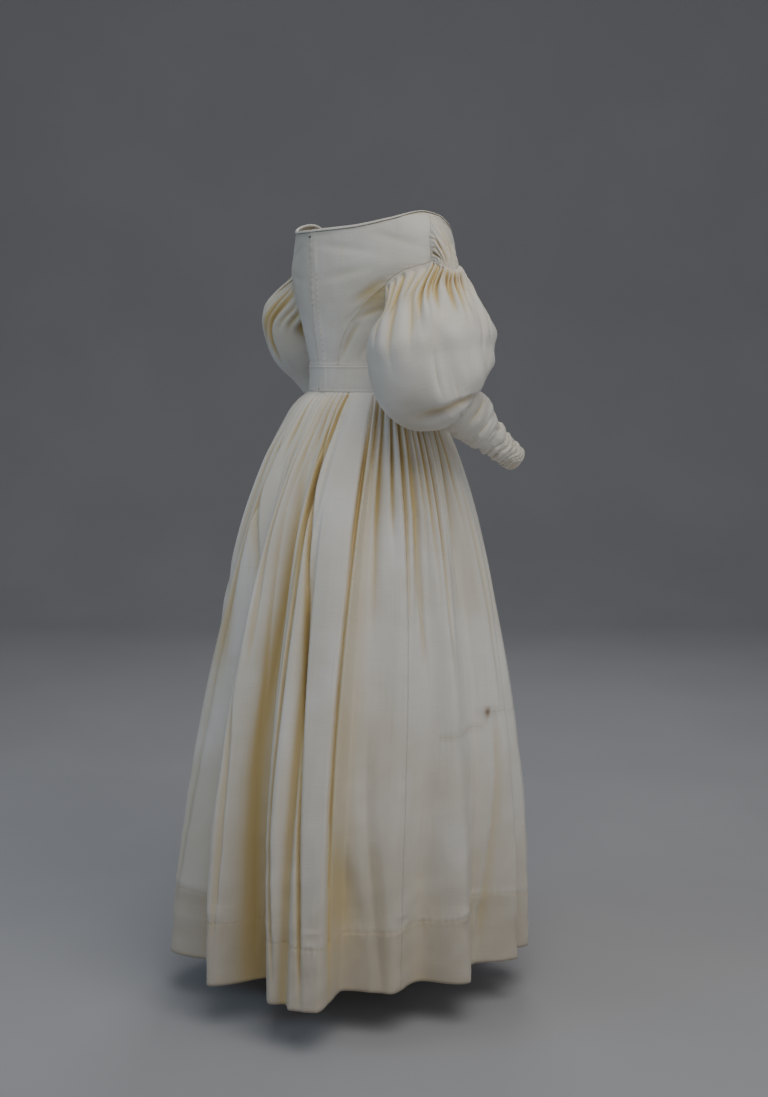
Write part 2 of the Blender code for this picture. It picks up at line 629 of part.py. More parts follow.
def build_sleeves():
    """Cap, puff and forearm of each sleeve; the left arm reaches further forwards."""
    for side, mirror, swing in (("right", (1, 1, 1), 0.0), ("left", (-1, 1, 1), LEFT_ARM_SWING)):
        build_cap(f"sleeve_cap_{side}", mirror)
        build_puff(f"sleeve_puff_{side}", mirror, swing)
        build_forearm(f"sleeve_lower_{side}", mirror, swing)


def build_hook(name, height):
    """A small dark hook bar across the closed back opening."""
    length, depth, tall = HOOK_SIZE
    middle = torso(0.0, height) + (0, SEAM_GAP + depth / 2, 0)
    across, steps = np.array([-1, 1]) * length / 2, 8
    turn = np.arange(steps) * 2 * math.pi / steps
    profile = np.stack([np.zeros(steps), np.cos(turn) * depth / 2, np.sin(turn) * tall / 2], -1)
    points = np.concatenate([middle + profile + (x, 0, 0) for x in across])
    faces = [(k, (k + 1) % steps, steps + (k + 1) % steps, steps + k) for k in range(steps)]
    faces += [tuple(range(steps))[::-1], tuple(range(steps, 2 * steps))]
    solid(name, points, faces, DARK_METAL, metallic=1.0)


def main():
    """Clears the scene and builds every piece of the dress."""
    for old in list(bpy.data.objects):
        bpy.data.objects.remove(old)
    waist = bpy.data.objects.new("wearer_waist", None)
    bpy.context.scene.collection.objects.link(waist)
    build_bodice()
    build_waistband()
    build_skirt()
    build_sleeves()
    build_hook("hook_neck", NECKLINE[0][1] - 0.008)
    build_hook("hook_waist", 0.004)


main()
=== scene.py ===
"""Looks of a plain ivory silk wedding dress, cut as in the 1830s and standing as it does when worn.

Every cloth piece is a thin sheet on its solid's form, with its gathers, folds, creases and seams.
Lengths are in metres and angles in degrees, with +Z up. The wearer faces -Y, with the right arm at -X,
and the origin is the middle of the waist seam. Angles round the body start at the centre back, pass the
wearer's right side at 90 and reach the centre front at 180. Drops are measured down from the waist seam.
"""

from __future__ import annotations

import logging
import math
from dataclasses import dataclass, field
from enum import Enum

import bpy
import numpy as np
from mathutils import Matrix, Vector

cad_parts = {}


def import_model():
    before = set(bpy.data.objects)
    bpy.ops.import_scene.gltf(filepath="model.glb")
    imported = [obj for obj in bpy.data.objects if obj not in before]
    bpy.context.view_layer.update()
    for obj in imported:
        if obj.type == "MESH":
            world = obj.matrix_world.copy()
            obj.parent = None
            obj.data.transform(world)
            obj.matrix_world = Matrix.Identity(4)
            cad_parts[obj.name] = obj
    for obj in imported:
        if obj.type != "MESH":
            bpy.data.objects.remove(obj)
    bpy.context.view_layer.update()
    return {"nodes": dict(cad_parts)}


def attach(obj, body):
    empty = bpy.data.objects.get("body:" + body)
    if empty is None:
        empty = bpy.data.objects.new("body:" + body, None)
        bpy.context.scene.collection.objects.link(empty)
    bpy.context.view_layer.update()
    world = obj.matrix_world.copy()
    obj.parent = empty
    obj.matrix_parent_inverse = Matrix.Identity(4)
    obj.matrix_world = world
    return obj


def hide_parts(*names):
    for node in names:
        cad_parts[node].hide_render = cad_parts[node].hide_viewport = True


LOG = logging.getLogger("wedding_dress")

Numbers = tuple[float, ...]
Table = tuple[Numbers, ...]

SHEET_THICKNESS = 0.0009
SEAM_GAP = 0.0003
BAND_HEIGHT = 0.044
SHOULDER_HEIGHT = 0.285
FLOOR_HEIGHT = -1.08


class Side(Enum):
    """Which sleeve, by the sign that mirrors the right one."""

    RIGHT = 1.0
    LEFT = -1.0


class Held(Enum):
    """How a sheet of cloth is held."""

    GATHERED = "gathered"
    STRETCHED = "stretched"
    FOLDED = "folded"


def column(table: Table, index: int) -> Numbers:
    """Returns one column of a table."""
    return tuple(row[index] for row in table)


def smooth(knots: object, values: object, at: object) -> np.ndarray:
    """Reads a smooth curve that never overshoots its rows.

    Args:
        knots: places of the rows, rising.
        values: the curve's value at each row.
        at: places to read.

    Returns:
        The curve's values at those places.
    """
    knots, values, at = (np.asarray(given, float) for given in (knots, values, at))
    steps = np.diff(knots)
    slopes = np.diff(values) / steps
    product = slopes[:-1] * slopes[1:]
    total = np.where(product > 0, slopes[:-1] + slopes[1:], 1.0)
    inner = np.where(product > 0, 2 * product / total, 0.0)
    tangents = np.concatenate([slopes[:1], inner, slopes[-1:]])
    i = np.clip(np.searchsorted(knots, at, side="right") - 1, 0, len(steps) - 1)
    h = steps[i]
    t = np.clip((at - knots[i]) / h, 0.0, 1.0)
    curve = values[i] * (2 * t**3 - 3 * t**2 + 1) + values[i + 1] * (3 * t**2 - 2 * t**3)
    return curve + h * (tangents[i] * (t**3 - 2 * t**2 + t) + tangents[i + 1] * (t**3 - t**2))


def rise(start: float, end: float, at: object) -> np.ndarray:
    """Returns a smooth step from 0 at `start` to 1 at `end`."""
    t = np.clip((np.asarray(at, float) - start) / (end - start), 0.0, 1.0)
    return t * t * (3 - 2 * t)


def hump(start: float, end: float, at: object, ease: float = 0.3) -> np.ndarray:
    """Returns 1 between `start` and `end`, easing in and out over a share of that stretch."""
    reach = (end - start) * ease
    return rise(start, start + reach, at) * (1 - rise(end - reach, end, at))


def valley(away: np.ndarray, reach: object, sharpness: float = 1.6) -> np.ndarray:
    """Returns the section of a crease: 1 at its line, falling to 0 at `reach` from it."""
    return np.clip(1 - np.abs(away) / reach, 0.0, 1.0) ** sharpness


def bell(away: np.ndarray, width: float) -> np.ndarray:
    """Returns a soft line: 1 in its middle, and nearly 0 at twice `width` from it."""
    return np.exp(-(away / width) ** 2)


def wrapped(away: object, turn: float = 360.0) -> np.ndarray:
    """Returns a distance round a closed ring, between minus and plus half a turn."""
    return (away + turn / 2) % turn - turn / 2


def grown(sizes: Numbers, share: float) -> float:
    """Returns the first size, and the second one times a share of it."""
    return sizes[0] + sizes[1] * share


def axis(heights: np.ndarray, behind: float = 0.0) -> np.ndarray:
    """Returns points inside the dress at these heights, one for each row of a sheet."""
    return np.stack([0 * heights, 0 * heights + behind, heights], -1)


def unit(vectors: np.ndarray) -> np.ndarray:
    """Returns the vectors at length 1."""
    return vectors / np.maximum(np.linalg.norm(vectors, axis=-1, keepdims=True), 1e-12)


def spread(first: float, last: float, count: int, crowding: float = 0.75) -> np.ndarray:
    """Returns rising places from `first` to `last` that crowd together at both ends."""
    t = np.linspace(0, 1, count)
    return first + (last - first) * (t - crowding * np.sin(2 * np.pi * t) / (2 * np.pi))


def far_side(angle: float) -> float:
    """Returns the angle, on the side that is turned away, of a fold like the one at an angle."""
    return 339.0 - 1.04 * angle


def joined(*stretches: np.ndarray) -> np.ndarray:
    """Returns stretches of places as one, each next one without its first place."""
    return np.concatenate([stretches[0]] + [stretch[1:] for stretch in stretches[1:]])


@dataclass(frozen=True)
class Ripple:
    """Smooth seeded unevenness over a flat cloth.

    Attributes:
        seed: picks the pattern.
        across: size of one ripple across the cloth, in metres or columns.
        along: size of one ripple along the cloth.
        turns: number of ripples round a closed ring, or 0 on an open sheet.
    """

    seed: int
    across: float
    along: float
    turns: int = 0

    CELLS = 97

    def at(self, across: object, along: object) -> np.ndarray:
        """Returns the ripple's value, from -1 to 1, at places across and along the cloth."""
        lattice = np.random.default_rng(self.seed).uniform(-1, 1, (self.CELLS, self.CELLS))
        x, y = np.broadcast_arrays(np.asarray(across) / self.across, np.asarray(along) / self.along)
        i, j = np.floor(x).astype(int), np.floor(y).astype(int)
        t, s = rise(0, 1, x - i), rise(0, 1, y - j)
        wrap = self.turns or self.CELLS
        near, far, j, k = i % wrap, (i + 1) % wrap, j % self.CELLS, (j + 1) % self.CELLS
        low = lattice[near, j] * (1 - t) + lattice[far, j] * t
        high = lattice[near, k] * (1 - t) + lattice[far, k] * t
        return low * (1 - s) + high * s


Layers = tuple[tuple[Ripple, float, float, float, float], ...]


@dataclass(frozen=True)
class Shade:
    """Painted shade: how much gold is painted on the cloth in folds.

    Attributes:
        start: depth of fold where it begins.
        rate: gain for each metre of depth.
        most: where it ends.
    """

    start: float
    rate: float
    most: float

    def at(self, depth: np.ndarray) -> np.ndarray:
        """Returns the painted shade for folds of this depth."""
        return np.clip(self.rate * (depth - self.start), 0, self.most)


@dataclass(frozen=True)
class Pucker:
    """Small uneven waves that stitches draw along a seam.

    Attributes:
        height: half the height of a wave.
        pitch: length of a wave over two pi.
        drift: length, over two pi, in which the pitch wanders and comes back.
        wander: how far the pitch wanders.
    """

    height: float
    pitch: float
    drift: float
    wander: float

    def at(self, along: np.ndarray) -> np.ndarray:
        """Returns how far the cloth stands out at places along the seam."""
        return self.height * np.sin(along / self.pitch + self.wander * np.sin(along / self.drift))


class Wire:
    """A socket of a shader, whose arithmetic adds Math nodes."""

    def __init__(self, graph: "Graph", socket: bpy.types.NodeSocket) -> None:
        """Keeps the socket and the graph that it is in."""
        self.graph = graph
        self.socket = socket

    def __add__(self, other: object) -> "Wire":
        """Adds a value."""
        return self.graph.math("ADD", self, other)

    __radd__ = __add__

    def __mul__(self, other: object) -> "Wire":
        """Multiplies by a value."""
        return self.graph.math("MULTIPLY", self, other)

    __rmul__ = __mul__

    def __sub__(self, other: object) -> "Wire":
        """Takes a value away."""
        return self.graph.math("SUBTRACT", self, other)

    def __rsub__(self, other: object) -> "Wire":
        """Takes this from a value."""
        return self.graph.math("SUBTRACT", other, self)

    def step(self, start: float, end: float) -> "Wire":
        """Returns a smooth step from 0 at `start` to 1 at `end`."""
        settings = {"interpolation_type": "SMOOTHSTEP"}
        return self.graph.node("ShaderNodeMapRange", settings, {0: self, 1: start, 2: end})


class Graph:
    """The nodes of one material."""

    def __init__(self, name: str) -> None:
        """Makes a material with only a Principled shader and its output."""
        self.material = bpy.data.materials.new(name)
        self.material.use_nodes = True
        self.tree = self.material.node_tree
        self.shader = self.tree.nodes["Principled BSDF"]

    def node(self, kind: str, settings: dict[str, object], inputs: dict[object, object],
             output: object = 0) -> Wire:
        """Adds a node.

        Args:
            kind: the node's type.
            settings: its properties, set before its sockets.
            inputs: a value or wire for each named or numbered input.
            output: the output wanted.

        Returns:
            That output.
        """
        made = self.tree.nodes.new(kind)
        for name, value in settings.items():
            setattr(made, name, value)
        for key, value in inputs.items():
            self.join(made.inputs[key], value)
        return Wire(self, made.outputs[output])

    def join(self, socket: bpy.types.NodeSocket, value: object) -> None:
        """Sets a socket's value, or links a wire to it."""
        if isinstance(value, Wire):
            self.tree.links.new(value.socket, socket)
        else:
            socket.default_value = value

    def math(self, operation: str, first: object, second: object) -> Wire:
        """Adds a Math node."""
        return self.node("ShaderNodeMath", {"operation": operation}, {0: first, 1: second})

    def mix(self, share: object, first: object, second: object) -> Wire:
        """Mixes two colours."""
        return self.node("ShaderNodeMix", {"data_type": "RGBA"}, {0: share, 6: first, 7: second}, 2)

    def noise(self, place: Wire, scale: float, detail: float = 3.0) -> Wire:
        """Adds a noise texture at a place."""
        return self.node("ShaderNodeTexNoise", {}, {"Vector": place, "Scale": scale, "Detail": detail})

    def scaled(self, place: Wire, factors: Numbers) -> Wire:
        """Scales a place along each axis."""
        return self.node("ShaderNodeMapping", {}, {"Vector": place, "Scale": factors})

    def attribute(self, name: str) -> Wire:
        """Reads a number that the mesh holds at each point."""
        return self.node("ShaderNodeAttribute", {"attribute_name": name}, {}, "Fac")

    def finish(self, inputs: dict[str, object]) -> bpy.types.Material:
        """Fills the shader's sockets and returns the material."""
        for name, value in inputs.items():
            self.join(self.shader.inputs[name], value)
        return self.material


@dataclass(frozen=True)
class Silk:
    """Plain woven silk with slubs across the cloth, with painted shade in its folds: gold, and deep brown
    where they are deepest.
    """

    name: str = "ivory_silk"
    ivory: Numbers = (0.76, 0.725, 0.645, 1.0)
    pale: Numbers = (0.84, 0.82, 0.775, 1.0)
    # gold and deep are painted shade for folds and hollows; gold also warms the random streaks
    gold: Numbers = (0.64, 0.50, 0.24, 1.0)
    deep: Numbers = (0.37, 0.26, 0.11, 1.0)
    tan: Numbers = (0.50, 0.43, 0.33, 1.0)
    brown: Numbers = (0.20, 0.11, 0.045, 1.0)
    roughness: float = 0.40
    crumple: float = 0.25

    def material(self) -> bpy.types.Material:
        """Builds the shader."""
        g = Graph(self.name)
        flat = g.node("ShaderNodeTexCoord", {}, {}, "UV")
        place = g.node("ShaderNodeTexCoord", {}, {}, "Object")
        painted_shade, tint, stain = (g.attribute(name) for name in ("painted_shade", "tint", "stain"))
        slubs = g.noise(g.scaled(flat, (16.0, 620.0, 1.0)), 1.0, 2.0)
        threads = g.noise(g.scaled(flat, (900.0, 2600.0, 1.0)), 1.0, 1.0)
        streaks = g.noise(g.scaled(flat, (150.0, 7.0, 1.0)), 1.0, 2.0)
        clouds = g.noise(place, 7.0, 3.0)
        crinkle = g.noise(place, 55.0, 4.0)
        colour = g.mix(clouds.step(0.38, 0.68), self.ivory, self.pale)
        colour = g.mix(slubs.step(0.52, 0.80) * 0.16, colour, self.tan)
        colour = g.mix(streaks.step(0.50, 0.85) * 0.18, colour, self.gold)
        colour = g.mix(tint * (0.6 + clouds * 0.5), colour, self.tan)
        # painted shade: gold in folds and hollows, deep brown where they are deepest
        colour = g.mix(painted_shade.step(0.0, 0.75), colour, self.gold)
        colour = g.mix(painted_shade.step(0.65, 1.25), colour, self.deep)
        colour = g.mix(stain, colour, self.brown)
        height = slubs * 0.00035 + threads * 0.00010 + crinkle * (0.0012 * self.crumple)
        bump = g.node("ShaderNodeBump", {}, {"Height": height, "Strength": 0.8, "Distance": 1.0})
        return g.finish({
            "Base Color": colour,
            "Roughness": self.roughness + slubs * 0.10 + crinkle * 0.08,
            "Normal": bump,
            "Sheen Weight": 0.18,
            "Sheen Roughness": 0.35,
            "Specular IOR Level": 0.42,
        })


@dataclass(frozen=True)
class Plain:
    """A finish of one kind, with a fine unevenness."""

    name: str
    colour: Numbers
    darker: Numbers
    roughness: float
    metallic: float
    grain: float

    def material(self) -> bpy.types.Material:
        """Builds the shader."""
        g = Graph(self.name)
        place = g.node("ShaderNodeTexCoord", {}, {}, "Object")
        grain = g.noise(place, self.grain)
        bump = g.node("ShaderNodeBump", {}, {"Height": grain * 0.0002, "Strength": 0.4, "Distance": 1.0})
        return g.finish({
            "Base Color": g.mix(grain.step(0.35, 0.7), self.darker, self.colour),
            "Roughness": self.roughness + grain * 0.1,
            "Metallic": self.metallic,
            "Normal": bump,
        })


SILK = Silk()
RUMPLED_SILK = Silk(name="rumpled_silk", crumple=0.6)
THREAD = Plain("sewing_thread", (0.70, 0.61, 0.45, 1.0), (0.52, 0.43, 0.28, 1.0), 0.7, 0.0, 900.0)
WIRE = Plain("black_wire", (0.06, 0.05, 0.045, 1.0), (0.03, 0.025, 0.02, 1.0), 0.4, 1.0, 500.0)
STAGE = Plain("pale_paper", (0.44, 0.44, 0.455, 1.0), (0.42, 0.42, 0.435, 1.0), 0.9, 0.0, 2.0)


@dataclass
class Sheet:
    """One piece of cloth before it is a mesh: a grid of points, rows by columns.

    Attributes:
        name: the solid that it stands for.
        grid: the outer face's points.
        flat_size: width and length of the cut cloth.
        held: how the cloth is held; not used.
        inside: a point inside the worn form for each row.
        painted_shade: painted shade, how much gold and deep brown is painted on each point in folds and
            hollows, from 0 to 1.
        tint: how much each point is darkened towards tan, from 0 to 1.
        stain: brown spots, from 0 to 1.
        ring: whether the last column joins the first.
        finish: the cloth's finish.
        across: place of each column across the flat cloth, as a share of its width.
        along: place of each row along the flat cloth, as a share of its length.
        area: the flat area where the cut isn't a rectangle; not used.
    """

    name: str
    grid: np.ndarray
    flat_size: tuple[float, float]
    held: Held
    inside: np.ndarray
    painted_shade: object = 0.0
    tint: object = 0.0
    stain: object = 0.0
    ring: bool = False
    finish: Silk = SILK
    across: np.ndarray | None = None
    along: np.ndarray | None = None
    area: float | None = None

    def faces(self) -> np.ndarray:
        """Returns the corner indices of every cell, its face outwards."""
        rows, columns = self.grid.shape[:2]
        cells = columns if self.ring else columns - 1
        r, c = np.meshgrid(np.arange(rows - 1), np.arange(cells), indexing="ij")
        a, b = r * columns + c, r * columns + (c + 1) % columns
        cell = np.stack([a, b, b + columns, a + columns], -1).reshape(-1, 4)
        points = self.grid.reshape(-1, 3)
        normals = np.cross(points[cell[:, 2]] - points[cell[:, 0]], points[cell[:, 3]] - points[cell[:, 1]])
        inside = np.broadcast_to(self.inside, (rows, 3))[r.reshape(-1)]
        outwards = (normals * (points[cell[:, 0]] - inside)).sum() > 0
        return cell if outwards else cell[:, ::-1]

    def build(self, materials: dict[str, bpy.types.Material]) -> None:
        """Args:
            materials: the made materials by name.
        """
        rows, columns = self.grid.shape[:2]
        faces = self.faces()
        mesh = bpy.data.meshes.new(f"{self.name}_cloth")
        mesh.from_pydata(self.grid.reshape(-1, 3).tolist(), [], faces.tolist())
        across = np.linspace(0, 1, columns, endpoint=not self.ring) if self.across is None else self.across
        along = np.linspace(0, 1, rows) if self.along is None else self.along
        at = faces % columns
        closing = self.ring & (at == 0) & (at.max(1, keepdims=True) == columns - 1)
        flat = np.stack([np.where(closing, 1.0, across[at]), along[faces // columns]], -1)
        layer = mesh.uv_layers.new(name="flat_cloth")
        layer.data.foreach_set("uv", (flat * self.flat_size).reshape(-1))
        for name, value in (("painted_shade", self.painted_shade), ("tint", self.tint), ("stain", self.stain)):
            held = mesh.attributes.new(name, "FLOAT", "POINT")
            held.data.foreach_set("value", np.broadcast_to(value, (rows, columns)).reshape(-1))
        mesh.shade_smooth()
        mesh.materials.append(materials[self.finish.name])
        piece = bpy.data.objects.new(f"{self.name}_cloth", mesh)
        bpy.context.scene.collection.objects.link(piece)
        thicken(piece, SHEET_THICKNESS)
        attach(piece, "root")
        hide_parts(self.name)
        area = self.measure(faces)
        LOG.info("%s: %d rows by %d columns, %.4f square metres", self.name, rows, columns, area)

    def measure(self, faces: np.ndarray) -> float:
        """Returns the area of the sheet as it stands."""
        a, b, c, d = (self.grid.reshape(-1, 3)[faces[:, k]] for k in range(4))
        return float(np.linalg.norm(np.cross(c - a, d - b), axis=-1).sum() / 2)


def select_only(piece: bpy.types.Object) -> None:
    """Deselects everything and makes one object the active one."""
    bpy.ops.object.select_all(action="DESELECT")
    piece.select_set(True)
    bpy.context.view_layer.objects.active = piece


def thicken(piece: bpy.types.Object, thickness: float) -> None:
    """Gives a sheet its thickness, inwards from its outer face."""
    select_only(piece)
    wall = piece.modifiers.new("wall", "SOLIDIFY")
    wall.thickness = thickness
    wall.offset = -1.0
    wall.use_rim = True
    bpy.ops.object.modifier_apply(modifier=wall.name)


def outward(grid: np.ndarray, inside: np.ndarray, ring: bool = False) -> np.ndarray:
    """Returns the direction out of the cloth at each point of a grid."""
    if ring:
        across = np.roll(grid, -1, axis=1) - np.roll(grid, 1, axis=1)
    else:
        across = np.gradient(grid, axis=1)
    normals = unit(np.cross(across, np.gradient(grid, axis=0)))
    rows = grid.shape[0]
    inside = np.broadcast_to(inside, (rows, 3))[:, None]
    return normals if ((grid - inside) * normals).sum() > 0 else -normals


@dataclass(frozen=True)
class Torso:
    """The fitted form of the bodice.

    Attributes:
        sections: height, half width, half depth behind and in front, squareness behind and in front.
        neckline: angle, height.
        ease: rounds each section off at the centre back and front.
    """

    sections: Table = (
        (0.000, 0.118, 0.095, 0.095, 1.80, 2.0),
        (0.044, 0.118, 0.096, 0.096, 1.75, 2.0),
        (0.100, 0.138, 0.104, 0.107, 1.70, 2.2),
        (0.125, 0.151, 0.107, 0.114, 1.65, 2.3),
        (0.172, 0.186, 0.112, 0.119, 1.52, 2.3),
        (0.215, 0.216, 0.114, 0.116, 1.40, 2.0),
        (0.255, 0.209, 0.116, 0.110, 1.32, 2.0),
        (0.288, 0.190, 0.116, 0.104, 1.32, 1.9),
        (0.300, 0.164, 0.115, 0.100, 1.35, 1.9),
    )
    neckline: Table = (
        (0, 0.2695), (30, 0.2735), (60, 0.284), (90, 0.2965), (120, 0.277), (150, 0.248), (180, 0.236),
    )
    ease: float = 0.1

    def reach(self, sine: np.ndarray, cosine: np.ndarray, power: object) -> np.ndarray:
        """Returns how far a section of this squareness reaches, as a share of an ellipse's reach."""
        return ((sine**2 + self.ease**2) ** (power / 2) + np.abs(cosine) ** power) ** (-1 / power)

    def point(self, angle: object, height: object) -> np.ndarray:
        """Returns the bodice's outer face at an angle round the body and a height."""
        angle, height = np.broadcast_arrays(np.asarray(angle, float), np.asarray(height, float))
        sine, cosine = np.sin(np.radians(angle)), np.cos(np.radians(angle))
        read = [smooth(column(self.sections, 0), column(self.sections, k), height) for k in range(1, 6)]
        half_width, behind, ahead = read[:3]
        power = np.where(cosine > 0, read[3], read[4])
        reach = self.reach(sine, cosine, power)
        half_depth = np.where(cosine > 0, behind, ahead)
        return np.stack([-half_width * reach * sine, half_depth * reach * cosine, height], -1)

    def normal(self, angle: object, height: object) -> np.ndarray:
        """Returns the direction out of the bodice."""
        angle, height = np.asarray(angle, float), np.asarray(height, float)
        turn, climb = 0.4, 0.002
        across = self.point(angle + turn, height) - self.point(angle - turn, height)
        upward = self.point(angle, height + climb) - self.point(angle, height - climb)
        return unit(np.cross(across, upward))

    def neck(self, angles: np.ndarray) -> np.ndarray:
        """Returns (angle, height) points of the neckline."""
        from_back = np.abs(wrapped(angles))
        return np.stack([angles, smooth(column(self.neckline, 0), column(self.neckline, 1), from_back)], -1)


@dataclass(frozen=True)
class Armhole:
    """The armhole of the right side, from the shoulder down the back and up the front.

    Attributes:
        torso: the bodice's form.
        rows: angle round the body, height, angle round the arm, sleeve columns to the next row.
    """

    torso: Torso = Torso()
    rows: Table = (
        (90.0, 0.2895, 90, 6),
        (84.7, 0.252, 68, 6),
        (82.8, 0.215, 45, 4),
        (66.0, 0.201, 15, 4),
        (56.5, 0.177, -15, 3),
        (64.0, 0.140, -50, 3),
        (88.0, 0.125, -90, 3),
        (114.0, 0.137, -130, 3),
        (130.0, 0.172, -165, 4),
        (124.0, 0.200, -195, 4),
        (110.0, 0.213, -225, 6),
        (97.5, 0.252, -248, 6),
    )
    back_seam_row: int = 4
    side_seam_row: int = 7
    cap_start: int = 10
    cap_end: int = 14

    def line(self, position: np.ndarray) -> np.ndarray:
        """Returns (angle, height) points at positions counted in rows."""
        rows = self.rows * 2
        keys = np.arange(len(rows))
        return np.stack([smooth(keys, column(rows, k), position) for k in (0, 1)], -1)

    def edge(self, position: np.ndarray) -> tuple[np.ndarray, np.ndarray, np.ndarray]:
        """Returns points on the armhole, the ways out there, and the ways into the hole."""
        fine = np.arange(0, 12, 0.05)
        line = self.line(fine)
        points, out = self.torso.point(line[:, 0], line[:, 1]), self.torso.normal(line[:, 0], line[:, 1])
        along = unit(np.roll(points, -1, axis=0) - np.roll(points, 1, axis=0))
        away = unit(np.cross(out, along))
        step = (np.asarray(position) % 12) / 0.05
        i = np.floor(step).astype(int)
        t, i, j = (step - i)[..., None], i % len(fine), (i + 1) % len(fine)
        return tuple((1 - t) * given[i] + t * given[j] for given in (points, out, away))

    def column_positions(self, fineness: int) -> np.ndarray:
        """Returns the position of each sleeve column, with `fineness` steps to a column."""
        counts = np.array(column(self.rows, 3), int)
        keys = np.concatenate([[0], np.cumsum(counts)])
        places = np.arange(keys[-1] * fineness) / fineness
        return np.interp(places, keys, np.arange(13))


def coons(left: np.ndarray, right: np.ndarray, low: np.ndarray, high: np.ndarray) -> np.ndarray:
    """Fills four border lines with a grid, low row first.

    Args:
        left: points up the left border.
        right: points up the right border, as many.
        low: points along the lower border.
        high: points along the upper border, as many.

    Returns:
        The grid, rows by columns.
    """
    u = np.linspace(0, 1, len(low))[None, :, None]
    v = np.linspace(0, 1, len(left))[:, None, None]
    across = (1 - u) * left[:, None] + u * right[:, None]
    upward = (1 - v) * low[None] + v * high[None]
    corners = (1 - v) * ((1 - u) * low[0] + u * low[-1]) + v * ((1 - u) * high[0] + u * high[-1])
    return across + upward - corners


def edge_distance(grid: np.ndarray) -> np.ndarray:
    """Returns how far each point of a grid lies from the nearest border point."""
    border = np.concatenate([grid[0], grid[-1], grid[:, 0], grid[:, -1]])
    points = grid.reshape(-1, 3)
    nearest = np.full(len(points), np.inf)
    for start in range(0, len(border), 64):
        gaps = np.linalg.norm(points[:, None] - border[None, start:start + 64], axis=-1)
        nearest = np.minimum(nearest, gaps.min(1))
    return nearest.reshape(grid.shape[:2])


